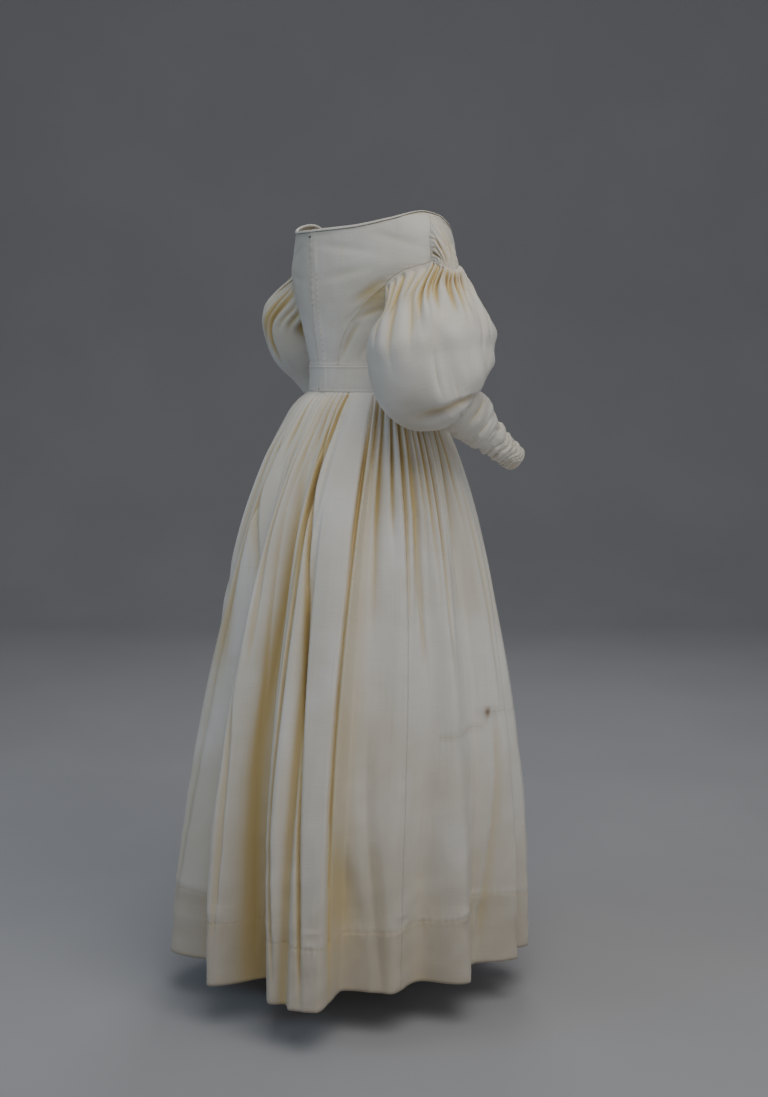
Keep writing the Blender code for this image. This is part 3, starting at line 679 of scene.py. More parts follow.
@dataclass
class Bodice:
    """The five panels of the bodice, the band under them and the bound neck.

    Attributes:
        back_seam: angle at the band of the seam beside each back, and how it curves.
        side_seam: the same of the seam under each arm.
        cord: height of the fine ridge beside a seam.
        placket: half width of the lapped edge at the centre back.
        binding_height: height of the bound edge over the neckline.
        binding_radius: radius of the fold along the top of the binding.
        band_lap: how far the band lies over the bodice and the skirt.
        band_radius: mean radius of the band, for what repeats along it.
        hollow: angle and height of the shaded hollow beside each arm, and its reach each way.
        opening_angle: angle from the centre back to each edge of its closed opening.
        back_creases: angle and height at one end and at the other, half width and depth of each shallow
            crease on the backs and sides.
        front_creases: the same on the front.
    """

    materials: dict[str, bpy.types.Material]
    torso: Torso = field(default_factory=Torso)
    armhole: Armhole = field(default_factory=Armhole)
    back_seam: Numbers = (22.4, 1.8)
    side_seam: Numbers = (100.0, 1.4)
    cord: float = 0.0009
    placket: float = 0.015
    panel_pucker: Pucker = Pucker(0.00035, 0.0016, 0.011, 3.0)
    band_pucker: Pucker = Pucker(0.0004, 0.0011, 0.013, 2.0)
    binding_height: float = 0.0036
    binding_radius: float = 0.0014
    band_lap: float = 0.0007
    band_radius: float = 0.107
    hollow: Numbers = (53.0, 0.160, 16.0, 0.030)
    opening_angle: float = 0.075
    back_creases: Table = (
        (34.0, 0.150, 52.0, 0.182, 0.012, 0.0016),
        (30.0, 0.120, 60.0, 0.140, 0.008, 0.0018),
        (26.0, 0.060, 40.0, 0.112, 0.010, 0.0030),
        (44.0, 0.055, 58.0, 0.105, 0.007, 0.0014),
        (8.0, 0.246, 44.0, 0.232, 0.012, 0.0012),
        (48.0, 0.262, 80.0, 0.238, 0.010, 0.0013),
        (10.0, 0.190, 38.0, 0.205, 0.014, 0.0012),
        (70.0, 0.060, 84.0, 0.112, 0.008, 0.0016),
    )
    front_creases: Table = (
        (112.0, 0.070, 132.0, 0.150, 0.009, 0.0018),
        (128.0, 0.060, 150.0, 0.128, 0.008, 0.0014),
        (122.0, 0.240, 168.0, 0.212, 0.010, 0.0012),
        (206.0, 0.216, 240.0, 0.236, 0.011, 0.0012),
        (214.0, 0.128, 234.0, 0.062, 0.009, 0.0016),
        (232.0, 0.150, 250.0, 0.078, 0.008, 0.0018),
    )

    def crease_depth(self, line: np.ndarray, creases: Table) -> np.ndarray:
        """Returns how far the creases draw a panel in at (angle, height) points."""
        reach = np.array([0.0018, 1.0])
        total = np.zeros(line.shape[:-1])
        for a1, h1, a2, h2, half, depth in creases:
            start, way = np.array([a1, h1]) * reach, np.array([a2 - a1, h2 - h1]) * reach
            away = line * reach - start
            share = np.clip((away * way).sum(-1) / (way**2).sum(), 0, 1)
            gap = np.linalg.norm(away - share[..., None] * way, axis=-1)
            total += depth * rise(half, 0.0, gap) * (0.35 + 0.65 * np.sin(np.pi * (0.1 + 0.8 * share)))
        return total

    def under_arm(self, line: np.ndarray) -> np.ndarray:
        """Returns how shaded the cloth is in the hollow beside each arm."""
        angle, height, reach, climb = self.hollow
        from_back = np.minimum(line[..., 0], 360 - line[..., 0])
        return bell(np.hypot((from_back - angle) / reach, (line[..., 1] - height) / climb), 1.0)

    def panel(self, name: str, borders: tuple[np.ndarray, ...], creases: Table, seed: int,
              flat_size: tuple[float, float], area: float, lap: float = 0.0) -> None:
        """Builds one panel between four border lines of (angle, height) points.

        Args:
            name: the panel's name, which is its node's too.
            borders: its left, right, low and high border.
            creases: the creases that cross it.
            seed: picks its unevenness.
            flat_size: width and length of the cut cloth.
            area: the cut's flat area.
            lap: how far the edge at the centre back stands out over the other one.
        """
        line = coons(*borders)
        angle, height = line[..., 0], line[..., 1]
        form, out = self.torso.point(angle, height), self.torso.normal(angle, height)
        gap = edge_distance(form)
        inner = rise(0.0, 0.012, gap)
        uneven = 0.0008 * Ripple(seed, 0.05, 0.035).at(form[..., 0] - form[..., 1], height)
        uneven += 0.0004 * Ripple(seed + 1, 0.016, 0.024).at(form[..., 0] + form[..., 1], height)
        drawn = self.crease_depth(line, creases)
        pucker = self.panel_pucker.at(height) * rise(0.012, 0.0, gap)
        seam = self.cord * (0.7 * bell(gap - 0.0018, 0.0011) - 0.3 * bell(gap, 0.0007))
        from_edge = np.abs(form[..., 0]) - self.placket
        placket = lap * rise(0.001, -0.001, from_edge) * (form[..., 1] > 0)
        grid = form + ((uneven - drawn) * inner + pucker + seam + placket)[..., None] * out
        # painted shade: gold in the creases, along the panel's edges and in the hollow beside each arm
        painted_shade = 0.32 * rise(0.0, 0.0026, drawn) * inner + 0.30 * bell(gap, 0.0012)
        painted_shade = painted_shade + 0.50 * self.under_arm(line)
        Sheet(name, grid, flat_size, Held.STRETCHED, axis(height.mean(1)), painted_shade=painted_shade,
              tint=0.08 + 0.12 * rise(0.02, 0.0, gap), area=area).build(self.materials)

    def seam_line(self, seam: Numbers, row: int, count: int) -> np.ndarray:
        """Returns (angle, height) points of a seam from the band to an armhole row."""
        end_angle, end_height = self.armhole.rows[row][:2]
        share = spread(0, 1, count)
        angles = seam[0] + (end_angle - seam[0]) * share ** seam[1]
        return np.stack([angles, BAND_HEIGHT + (end_height - BAND_HEIGHT) * share], -1)

    def band_line(self, first: float, last: float, count: int) -> np.ndarray:
        """Returns (angle, height) points along the top of the band."""
        return np.stack([spread(first, last, count), np.full(count, BAND_HEIGHT)], -1)

    def build_panels(self) -> None:
        """Builds the backs, the sides and the front."""
        hole, torso, columns = self.armhole, self.torso, 56
        seam_rows, hole_rows, shoulder_rows = 34, 46, 5
        back_start, side_start = self.back_seam[0], self.side_seam[0]
        back_seam = self.seam_line(self.back_seam, hole.back_seam_row, seam_rows)
        side_seam = self.seam_line(self.side_seam, hole.side_seam_row, seam_rows)
        shoulder_heights = np.linspace(hole.rows[0][1], torso.neckline[3][1], shoulder_rows)
        shoulder = np.stack([np.full(shoulder_rows, 90.0), shoulder_heights], -1)
        back_edge = joined(back_seam, hole.line(spread(hole.back_seam_row, 0, hole_rows)), shoulder)
        front_edge = joined(side_seam, hole.line(spread(hole.side_seam_row, 12, hole_rows)), shoulder)
        blade, nape, top = 0.15, 0.26, torso.neckline[0][1]
        centre_heights = joined(spread(BAND_HEIGHT, blade, seam_rows), np.linspace(blade, nape, hole_rows),
                                np.linspace(nape, top, shoulder_rows))
        opening = np.full(len(centre_heights), self.opening_angle)
        centre_back = np.stack([opening, centre_heights], -1)
        other, round_front = np.array([-1.0, 1.0]), np.array([360.0, 0.0])
        back = (centre_back, back_edge, self.band_line(0, back_start, columns),
                torso.neck(spread(0, 90, columns)))
        side = (back_seam, side_seam, self.band_line(back_start, side_start, columns),
                hole.line(spread(hole.back_seam_row, hole.side_seam_row, columns)))
        front = (front_edge, front_edge * other + round_front,
                 self.band_line(side_start, 360 - side_start, 2 * columns),
                 torso.neck(spread(90, 270, 2 * columns)))
        creases = self.back_creases
        other_creases = tuple((-a, b, -c, d, e, f) for a, b, c, d, e, f in creases)
        halves = (
            ("back", back, 11, (0.25, 0.255), 0.036, 0.0010),
            ("side", side, 15, (0.15, 0.135), 0.0145, 0.0),
        )
        for name, borders, seed, flat_size, area, lap in halves:
            self.panel(f"{name}_right", borders, creases, seed, flat_size, area, lap)
            mirrored = tuple(border * other for border in borders)
            self.panel(f"{name}_left", mirrored, other_creases, seed + 2, flat_size, area)
        self.panel("front", front, self.front_creases, 19, (0.46, 0.255), 0.085)

    def build_band(self) -> None:
        """Builds the band between bodice and skirt, with its lapped end at the centre back."""
        angles = joined(spread(0, 20, 30), np.linspace(20, 340, 260), spread(340, 360, 30))
        heights = spread(BAND_HEIGHT + self.band_lap, -self.band_lap, 22)
        angle, height = np.meshgrid(angles, heights)
        form, out = self.torso.point(angle, height), self.torso.normal(angle, height)
        gap = np.minimum(height, BAND_HEIGHT - height)
        length = np.radians(angle) * self.band_radius
        uneven = 0.0006 * Ripple(23, 0.030, 0.012).at(length, height) * rise(0.0, 0.006, gap)
        pucker = self.band_pucker.at(length) * rise(0.006, 0.0, gap)
        seam = self.cord * bell(gap - 0.0015, 0.0012)
        lap = 0.0011 * rise(9.0, 8.0, angle)
        grid = form + (uneven + pucker + seam + lap + 0.0008)[..., None] * out
        grid[:, 0, 0] = -SEAM_GAP / 2
        grid[:, -1, 0] = SEAM_GAP / 2
        # painted shade along both edges of the band
        Sheet("waistband", grid, (0.69, BAND_HEIGHT), Held.STRETCHED, axis(heights),
              painted_shade=0.12 * bell(gap, 0.0014), tint=0.10, across=angles / 360).build(self.materials)

    def build_binding(self) -> None:
        """Builds the narrow strip folded over the neck's edge, open at the centre back."""
        angles = joined(spread(0, 90, 120), spread(90, 270, 240), spread(270, 360, 120))
        line = self.torso.neck(angles)
        edge = self.torso.point(angles, line[:, 1])
        out = self.torso.normal(angles, line[:, 1])
        along = unit(np.gradient(edge, axis=0))
        up = unit(np.cross(out, along))
        up *= np.sign(up[:, 2:])
        turn = np.radians(np.linspace(-8, 188, 11))[:, None, None]
        high = self.binding_height - self.binding_radius
        rolled = self.binding_radius * (np.cos(turn) * out + np.sin(turn) * up) + (high - 0.0006) * up
        outer_leg = np.stack([0.0013 * out + (SEAM_GAP + high * t) * up for t in (-0.40, 0.5)])
        inner_leg = np.stack([-0.0022 * out + (SEAM_GAP + high * t) * up for t in (0.5, 0.0)])
        profile = np.concatenate([outer_leg, rolled - 0.0004 * out, inner_leg])
        step = np.arange(len(angles))
        wrinkle = 0.00022 * np.sin(step * 1.9 + 2 * np.sin(step / 7))
        grid = edge[None] + profile + wrinkle[None, :, None] * out[None]
        # a faint painted shade over the whole binding
        Sheet("neck_binding", grid, (0.90, 0.010), Held.FOLDED, edge.mean(0), painted_shade=0.04,
              tint=0.10).build(self.materials)

    def build(self) -> None:
        """Builds every piece of the bodice."""
        self.build_panels()
        self.build_band()
        self.build_binding()


@dataclass
class Skirt:
    """The five gathered panels of the skirt.

    Attributes:
        sections: drop, half width, half depth, shift towards the back.
        trough_drops: the drops at which a trough's or slit's angles are given.
        troughs: four angles, the depth at the hem, the half width at the hem towards smaller and larger
        angles, the drops where it starts and ends, and how strongly gold shade is painted in it.
        crossing: which trough crosses the threads, where the others lead them.
        creases: angle at the waist, start and end drop, half width, depth.
        slits: four angles, start and end drop, half width, depth and painted gold shade of a sharp fold,
            and the
        width, towards larger angles, and the strength of the painted gold shade beside it.
        panels: each panel's name, and the angles at the waist where it starts and ends.
        gather_pitch: angle from one gather to the next at the waist.
        gather_depth: least depth, and what a gather's size adds.
        gather_length: least length, and what chance and the square of its size add.
        gather_share: least half width as a share of the pitch, and what its size adds.
        gather_half: least half width lower down, in metres, and what its size adds.
        between: depth, half width as a share of the pitch, least length, and what chance adds to it, of the
            short gathers between those.
        flat_places: angles where the cloth lies flat under the band.
        flat_reach: angles from there where the gathers begin and are whole.
        swells, crumples: ripple, height, slant, and the drops where it begins and is whole.
        crumple_depth: depth of the crumples low on the skirt.
        hem_line: angle and drop of points on the line of the hem's stitches.
        join: angle and drop of points on the line where the right side is pieced.
        hole: angle and drop of the small brown hole.
        cloth_radius: mean radius of the skirt, for what repeats along its seams.
        row_stretches: drops at the ends of each stretch of rows, and its number of rows.
        stitches: the places of the stitches on each line, found while the panels are built.
    """

    materials: dict[str, bpy.types.Material]
    torso: Torso = field(default_factory=Torso)
    sections: Table = (
        (0.000, 0.1180, 0.0950, 0.000),
        (0.016, 0.1346, 0.1121, 0.001),
        (0.052, 0.1522, 0.1335, 0.004),
        (0.122, 0.1808, 0.1690, 0.008),
        (0.265, 0.2190, 0.2190, 0.012),
        (0.484, 0.2576, 0.2656, 0.018),
        (0.782, 0.2972, 0.3145, 0.028),
        (1.000, 0.3076, 0.3273, 0.034),
    )
    trough_drops: Numbers = (0.0, 0.25, 0.6, 1.0)
    troughs: Table = (
        (-18.0, -27.0, -42.0, -44.0, 0.048, 11.0, 17.0, 0.00, 1.00, 6.0),
        (6.0, -2.0, -13.0, -9.5, 0.080, 18.0, 20.5, 0.00, 1.00, 7.0),
        (24.0, 18.0, 16.0, 19.5, 0.106, 15.0, 15.5, 0.00, 1.00, 13.0),
        (37.0, 36.0, 36.5, 37.0, 0.018, 6.0, 2.6, 0.18, 0.50, 42.0),
        (63.0, 58.0, 56.0, 55.5, 0.083, 8.0, 40.0, 0.00, 1.00, 1.2),
        (84.0, 85.0, 87.0, 88.0, 0.076, 18.0, 15.0, 0.20, 1.00, 3.0),
        (112.0, 110.0, 111.0, 114.0, 0.064, 22.0, 14.0, 0.00, 1.00, 4.0),
        (132.0, 131.0, 130.0, 132.0, 0.030, 7.0, 6.0, 0.05, 1.00, 6.0),
        (150.0, 152.0, 153.0, 152.0, 0.062, 12.0, 10.0, 0.00, 1.00, 7.0),
        (171.0, 173.0, 175.0, 176.0, 0.046, 9.0, 11.0, 0.05, 1.00, 7.0),
        (195.0, 197.0, 199.0, 200.0, 0.074, 12.0, 10.0, 0.00, 1.00, 7.0),
        (218.0, 220.0, 222.0, 223.0, 0.050, 9.0, 12.0, 0.04, 1.00, 7.0),
        (242.0, 244.0, 247.0, 248.0, 0.078, 11.0, 12.0, 0.00, 1.00, 7.0),
        (268.0, 270.0, 271.0, 271.0, 0.044, 9.0, 10.0, 0.04, 0.90, 7.0),
        (290.0, 290.0, 289.0, 288.0, 0.040, 8.0, 8.0, 0.00, 1.00, 7.0),
    )
    creases: Table = (
        (-31.0, 0.02, 0.55, 0.010, 0.0050),
        (-24.0, 0.00, 0.38, 0.008, 0.0050),
        (-9.0, 0.01, 0.62, 0.009, 0.0060),
        (2.0, 0.00, 0.34, 0.008, 0.0050),
        (12.0, 0.01, 0.50, 0.008, 0.0060),
        (17.0, 0.03, 0.74, 0.009, 0.0060),
        (28.0, 0.05, 0.60, 0.007, 0.0045),
        (33.5, 0.10, 0.66, 0.006, 0.0040),
        (41.0, 0.22, 0.50, 0.012, 0.0030),
        (57.0, 0.00, 0.34, 0.008, 0.0050),
        (67.0, 0.02, 0.46, 0.009, 0.0050),
        (73.0, 0.00, 0.30, 0.008, 0.0050),
        (81.0, 0.04, 0.42, 0.010, 0.0050),
        (97.0, 0.01, 0.56, 0.010, 0.0060),
        (106.0, 0.02, 0.48, 0.009, 0.0050),
        (124.0, 0.02, 0.66, 0.009, 0.0050),
    )
    slits: Table = (
        (14.0, 17.5, 12.2, 15.5, 0.02, 1.02, 0.012, 0.004, 0.25, 0.000, 0.00),
        (27.0, 28.5, 28.5, 33.5, 0.03, 0.98, 0.006, 0.010, 0.50, -0.022, 0.16),
        (24.0, 32.0, 38.5, 43.0, 0.04, 1.00, 0.006, 0.011, 0.55, -0.030, 0.20),
        (57.0, 52.5, 49.3, 50.8, 0.02, 1.02, 0.006, 0.012, 0.40, 0.062, 0.32),
        (-6.0, -13.0, -25.0, -27.0, 0.03, 0.95, 0.007, 0.009, 0.30, 0.020, 0.10),
        (63.0, 62.0, 62.0, 70.5, 0.58, 1.02, 0.022, 0.006, 0.06, 0.000, 0.00),
        (85.0, 84.0, 88.0, 90.0, 0.02, 0.44, 0.007, 0.007, 0.30, -0.018, 0.10),
        (113.5, 114.0, 114.0, 113.0, 0.24, 0.90, 0.014, 0.006, 0.10, 0.000, 0.00),
        (118.5, 118.5, 119.0, 116.0, 0.57, 0.93, 0.009, 0.006, 0.18, 0.024, 0.14),
    )
    panels: tuple[tuple[str, float, float], ...] = (
        ("skirt_back_right", 0.0, 77.5),
        ("skirt_side_right", 77.5, 147.5),
        ("skirt_front", 147.5, 212.5),
        ("skirt_side_left", 212.5, 282.5),
        ("skirt_back_left", 282.5, 360.0),
    )
    crossing: int = 1
    gather_pitch: float = 5.0
    gather_depth: Numbers = (0.0046, 0.0062)
    gather_length: Numbers = (0.13, 0.20, 0.26)
    gather_share: Numbers = (0.33, 0.20)
    gather_half: Numbers = (0.0044, 0.0036)
    between: Numbers = (0.0042, 0.24, 0.05, 0.09)
    flat_places: Numbers = (46.5, 313.5)
    flat_reach: Numbers = (6.0, 11.5)
    swells: Layers = (
        (Ripple(41, 18.0, 0.30, 20), 0.0046, 0.0, 0.08, 0.4),
        (Ripple(43, 6.0, 0.16, 60), 0.0026, 14.0, 0.10, 0.4),
    )
    crumples: Layers = (
        (Ripple(47, 9.0, 0.045, 40), 1.0, 40.0, 0.45, 0.85),
        (Ripple(49, 4.0, 0.020, 90), 0.5, 40.0, 0.55, 0.95),
    )
    crumple_depth: float = 0.0030
    hem_line: Table = (
        (0, 0.893), (44, 0.898), (88, 0.892), (120, 0.873),
        (136, 0.898), (220, 0.880), (335, 0.880), (360, 0.893),
    )
    join: Table = ((91.0, 0.577), (97.75, 0.570), (115.75, 0.576), (117.5, 0.552), (144.0, 0.560))
    hole: Numbers = (117.3, 0.551)
    hem_pucker: Pucker = Pucker(0.0006, 0.0016, 0.017, 2.0)
    seam_pucker: Pucker = Pucker(0.0008, 0.0045, 0.03, 3.0)
    join_pucker: Pucker = Pucker(0.00072, 0.0022, 0.02, 3.0)
    trough_shade: Shade = Shade(0.10, 1.0, 0.48)
    gather_shade: Shade = Shade(0.0014, 75.0, 0.56)
    waist_shade: Shade = Shade(0.0040, 130.0, 0.34)
    crease_shade: Shade = Shade(0.0010, 90.0, 0.34)
    cloth_radius: float = 0.32
    cut_length: float = 1.02
    width_per_degree: float = 0.0068
    columns_per_gather: int = 12
    row_stretches: Table = (
        (-SEAM_GAP, 0.045, 22), (0.045, 0.30, 40), (0.30, 0.86, 46),
        (0.86, 0.905, 17), (0.905, 0.985, 8), (0.985, 1.0, 4),
    )
    stitches: dict[str, list] = field(default_factory=dict)

    def seams(self) -> list[float]:
        """Returns the angles of the seams at the waist, with the centre back at both ends."""
        return [first for _, first, _ in self.panels] + [360.0]

    def radius(self, drop: np.ndarray, index: int = 1) -> np.ndarray:
        """Returns the skirt's half width at a drop, or its half depth for index 2."""
        return smooth(column(self.sections, 0), column(self.sections, index), drop)

    def lie(self, place: np.ndarray, drop: np.ndarray) -> np.ndarray:
        """Returns the angle at a drop of the thread that starts at an angle at the waist."""
        leading = [row for k, row in enumerate(self.troughs) if k != self.crossing and row[4] > 0.02]
        starts = np.array([row[0] % 360 for row in leading] + self.seams())
        order = np.argsort(starts)
        result = np.empty(np.broadcast(place, drop).shape)
        for r, at in enumerate(drop[:, 0]):
            ends = [smooth(self.trough_drops, row[:4], at) % 360 for row in leading]
            result[r] = np.interp(place[r], starts[order], np.array(ends + self.seams())[order])
        return result

    def away(self, angle: np.ndarray, drop: np.ndarray, row: Numbers) -> np.ndarray:
        """Returns how far each point lies, in degrees, from a trough or slit."""
        return wrapped(angle - smooth(self.trough_drops, row[:4], drop))

    def trough_depth(self, angle: np.ndarray, drop: np.ndarray) -> tuple[np.ndarray, np.ndarray]:
        """Returns how far the large folds draw the skirt in, and how much gold shade is painted in them."""
        total, gold = np.zeros(angle.shape), np.zeros(angle.shape)
        narrowing = 0.42 + 0.58 * rise(-0.1, 0.8, drop)
        for row in self.troughs:
            depth, near, far, start, end, warmth = row[4:]
            away = self.away(angle, drop, row)
            reach = np.where(away < 0, near, far) * narrowing
            shape = np.where(np.abs(away) < reach, 0.5 + 0.5 * np.cos(np.pi * away / reach), 0.0)
            drawn = depth * shape * np.clip((drop - start) / (end - start), 0, 1) ** 0.8
            total += drawn
            gold += warmth * drawn * shape
        return total, gold

    def gathers(self, place: np.ndarray, drop: np.ndarray) -> np.ndarray:
        """Returns how far the gathers draw the skirt in: a narrow valley every pitch, of uneven length."""
        chance = np.random.default_rng(31)
        total = np.zeros(place.shape)
        pitch, radius = self.gather_pitch, 0.5 * (self.radius(drop) + self.radius(drop, 2))
        short_depth, short_share, *short_length = self.between
        for k in range(round(360 / pitch)):
            jitter, size, length, turn = chance.uniform(0, 1, 4)
            centre = (k + 0.5) * pitch + 1.5 * (jitter - 0.5)
            length = grown(self.gather_length, length) + self.gather_length[2] * size**2
            flat = float(min(rise(*self.flat_reach, abs(centre - at)) for at in self.flat_places))
            half = np.degrees(grown(self.gather_half, size) / radius)
            reach = np.minimum(grown(self.gather_share, size) * pitch, half)
            away = wrapped(place - centre - 2.2 * (turn - 0.5) * rise(0.03, 0.4, drop))
            fade = (0.55 + 0.45 * rise(0.0, 0.010, drop)) * (1 - rise(0.35, 1.0, drop / length))
            total += grown(self.gather_depth, size) * flat * fade * valley(away, reach, 1.15)
            away = wrapped(place - (k + 1.0 + 0.3 * (turn - 0.5)) * pitch)
            fade = (0.4 + 0.6 * rise(0.0, 0.008, drop)) * (
                1 - rise(0.3, 1.0, drop / grown(short_length, jitter)))
            total += short_depth * flat * fade * valley(away, short_share * pitch, 1.0)
        return total

    def crease_depth(self, place: np.ndarray, drop: np.ndarray) -> np.ndarray:
        """Returns how far the long creases draw the skirt in, like ones on the side that is turned away."""
        radius = self.radius(drop)
        total = np.zeros(place.shape)
        hidden = tuple((far_side(angle), *rest) for angle, *rest in self.creases)
        for angle, start, end, half, depth in self.creases + hidden:
            reach = np.degrees(half / radius) * (0.8 + 0.5 * rise(start, end, drop))
            total += depth * valley(wrapped(place - angle), reach, 1.4) * hump(start, end, drop, 0.4)
        return total

    def slit_depth(self, angle: np.ndarray, drop: np.ndarray) -> tuple[np.ndarray, np.ndarray]:
        """Returns how far the sharp folds draw the skirt in, and how much gold shade is painted in and
        beside them.
        """
        radius = self.radius(drop)
        hidden = tuple((*map(far_side, row[:4]), *row[4:9], -row[9], row[10]) for row in self.slits)
        total, gold = np.zeros(angle.shape), np.zeros(angle.shape)
        for row in self.slits + hidden:
            start, end, half, depth, line_shade, shade, strength = row[4:]
            away = np.radians(self.away(angle, drop, row)) * radius
            span = hump(start - 0.05, end + 0.05, drop, 0.18)
            total += depth * span * valley(away, half, 1.2)
            # painted shade along the slit's line and, where given, on one side of it
            gold += line_shade * span * valley(away, 0.9 * half, 0.8)
            if shade:
                gold += strength * span * (away / shade > 0) * rise(1.0, 0.1, np.abs(away / shade))
        return total, gold

    def below_bulge(self, angle: np.ndarray, drop: np.ndarray) -> np.ndarray:
        """Returns how far each point lies below the slanting crease under the swelling."""
        return drop - 0.70 - 0.0090 * (angle - 50.0)

    def bulge(self, angle: np.ndarray, drop: np.ndarray) -> np.ndarray:
        """Returns how far the cloth beside the large fold swells out above a slanting crease."""
        across = rise(49.0, 53.0, angle) * (1 - rise(56.0, 72.0, angle))
        above = 1 - rise(-0.02, 0.08, self.below_bulge(angle, drop))
        return 0.012 * across * rise(0.20, 0.60, drop) * above

    def piecing(self, angle: np.ndarray, drop: np.ndarray) -> np.ndarray:
        """Returns how far each point lies below the line where the right side is pieced, or 1 beside it."""
        line = np.interp(angle, column(self.join, 0), column(self.join, 1))
        inside = (angle > self.join[0][0]) & (angle < self.join[-1][0])
        return np.where(inside, drop - line, 1.0)

    def layered(self, layers: Layers, place: np.ndarray, drop: np.ndarray,
                creased: bool = False) -> np.ndarray:
        """Adds up layers of ripples.

        Args:
            layers: the ripples, with their heights, slants and drops.
            place: angle at the waist of each point's thread.
            drop: each point's drop.
            creased: whether each ripple has a sharp crease where it would cross 0.

        Returns:
            Their sum at each point.
        """
        total = 0.0
        for ripple, height, slant, start, end in layers:
            value = ripple.at(place + slant * drop, drop)
            total = total + height * (np.abs(value) if creased else value) * rise(start, end, drop)
        return total

    def surface(self, place: np.ndarray, drop: np.ndarray) -> dict[str, np.ndarray]:
        """Works out the skirt's outer face.

        Args:
            place: angle at the waist of each point's thread.
            drop: how far below the waist seam each point lies.

        Returns:
            The points as "grid", the gold and deep brown shade painted in its folds and hollows as "fold",
            how much it is darkened towards tan as "tint", its brown spots as "stain", and how far it lies
            below the hem's stitches and below the line where the right side is pieced as "hem" and "join".
        """
        angle = self.lie(place, drop)
        trough, gold = self.trough_depth(angle, drop)
        gather = self.gathers(place, drop)
        crease = self.crease_depth(place, drop)
        slit, shaded = self.slit_depth(angle, drop)
        crumple = self.layered(self.crumples, place, drop, creased=True)
        along = np.radians(place) * self.cloth_radius
        below = drop - smooth(column(self.hem_line, 0), column(self.hem_line, 1), angle % 360)
        pieced = self.piecing(angle, drop)
        seam_gap = np.min([np.abs(place - at) for at in self.seams()], axis=0)
        stitched, sewn = bell(below, 0.0022), bell(pieced, 0.004)
        seam = 0.5 * bell(seam_gap, 0.30) * rise(0.03, 0.08, drop)
        depth = 0.0022 + self.layered(self.swells, place, drop) + self.bulge(angle, drop)
        depth -= trough + gather + crease + slit + self.crumple_depth * crumple
        depth += 0.0008 * rise(-0.002, 0.003, below) - 0.0010 * (stitched + seam) - 0.0012 * sewn
        depth += self.hem_pucker.at(along) * bell(below, 0.009)
        depth += self.seam_pucker.at(drop) * bell(seam_gap, 2.2) * rise(0.1, 0.3, drop)
        depth += self.join_pucker.at(along) * bell(pieced, 0.012)
        # painted shade: gold in the troughs, gathers, creases and slits and beside slits, more under the
        # waist, in the wedge below the swelling's crease, and faintly over the right back and side lower
        # down
        painted_shade = self.trough_shade.at(gold) + self.gather_shade.at(gather) + self.crease_shade.at(crease)
        painted_shade += shaded + self.waist_shade.at(gather) * rise(0.22, 0.05, drop)
        painted_shade += 0.20 * hump(-0.02, 0.20, self.below_bulge(angle, drop), 0.5) * (
            rise(50.0, 52.0, angle) * (1 - rise(54.0, 68.0, angle)))
        painted_shade += 0.13 * rise(0.25, 0.60, drop) * hump(42.0, 104.0, angle, 0.3)
        tint = 0.44 * rise(0.45, 1.0, drop) + 0.26 * rise(-0.003, 0.003, below) + 0.20 * stitched
        tint += 0.20 * rise(0.988, 1.0, drop) + 0.20 * crumple * rise(0.6, 1.0, drop)
        tint += 0.30 * sewn + 0.12 * seam
        far = np.hypot((angle - self.hole[0]) * 0.0035, drop - self.hole[1])
        stain = 0.85 * rise(0.0046, 0.0018, far) + 0.14 * rise(0.016, 0.004, far)
        depth *= 0.20 + 0.80 * rise(0.0, 0.010, drop)
        return {"grid": self.placed(angle, drop, depth), "painted_shade": np.clip(painted_shade, 0, 1.0), "tint": tint,
                "stain": stain, "hem": below, "join": pieced}

    def placed(self, angle: np.ndarray, drop: np.ndarray, depth: np.ndarray) -> np.ndarray:
        """Returns points that stand out by `depth` from the skirt's plain form."""
        half_width, half_depth, shift = (self.radius(drop, k) for k in (1, 2, 3))
        sine, cosine = np.sin(np.radians(angle)), np.cos(np.radians(angle))
        out = unit(np.stack([-sine / half_width, cosine / half_depth], -1))
        waist = self.torso.sections[0]
        waist_reach = self.torso.reach(sine, cosine, np.where(cosine > 0, waist[4], waist[5]))
        reach = waist_reach + (1 - waist_reach) * rise(0.0, 0.035, drop)
        x = -half_width * reach * sine + depth * out[..., 0]
        y = shift + half_depth * reach * cosine + depth * out[..., 1]
        return np.stack([x, y, -drop], -1)

    def find_stitches(self, name: str, grid: np.ndarray, away: np.ndarray, pitch: int) -> None:
        """Notes where stitches lie on a line.

        Args:
            name: the line's name.
            grid: a panel's points.
            away: how far each one lies below the line.
            pitch: columns from one stitch to the next.
        """
        normals = outward(grid, axis(grid[:, 0, 2]))
        on_line = 0.006
        for k in range(2, grid.shape[1] - pitch, pitch):
            row, other = (int(np.abs(away[:, at]).argmin()) for at in (k, k + pitch - 1))
            if abs(away[row, k]) < on_line and abs(away[other, k + pitch - 1]) < on_line:
                way = grid[other, k + pitch - 1] - grid[row, k]
                self.stitches.setdefault(name, []).append((grid[row, k], way, normals[row, k]))

    def build(self) -> None:
        """Builds the five panels from one ring of threads."""
        step = self.gather_pitch / self.columns_per_gather
        rows = joined(*(np.linspace(*stretch) for stretch in self.row_stretches))
        for name, first, last in self.panels:
            count = round((last - first) / step) + 1
            place, drop = np.meshgrid(np.linspace(first, last, count), rows)
            made = self.surface(place, drop)
            self.find_stitches("hem_stitches", made["grid"], made["hem"], 4)
            self.find_stitches("join_stitches", made["grid"], made["join"], 3)
            width = self.width_per_degree * (last - first)
            Sheet(name, made["grid"], (width, self.cut_length), Held.GATHERED, axis(-rows, 0.02),
                  painted_shade=made["painted_shade"], tint=made["tint"], stain=made["stain"],
                  along=rows).build(self.materials)


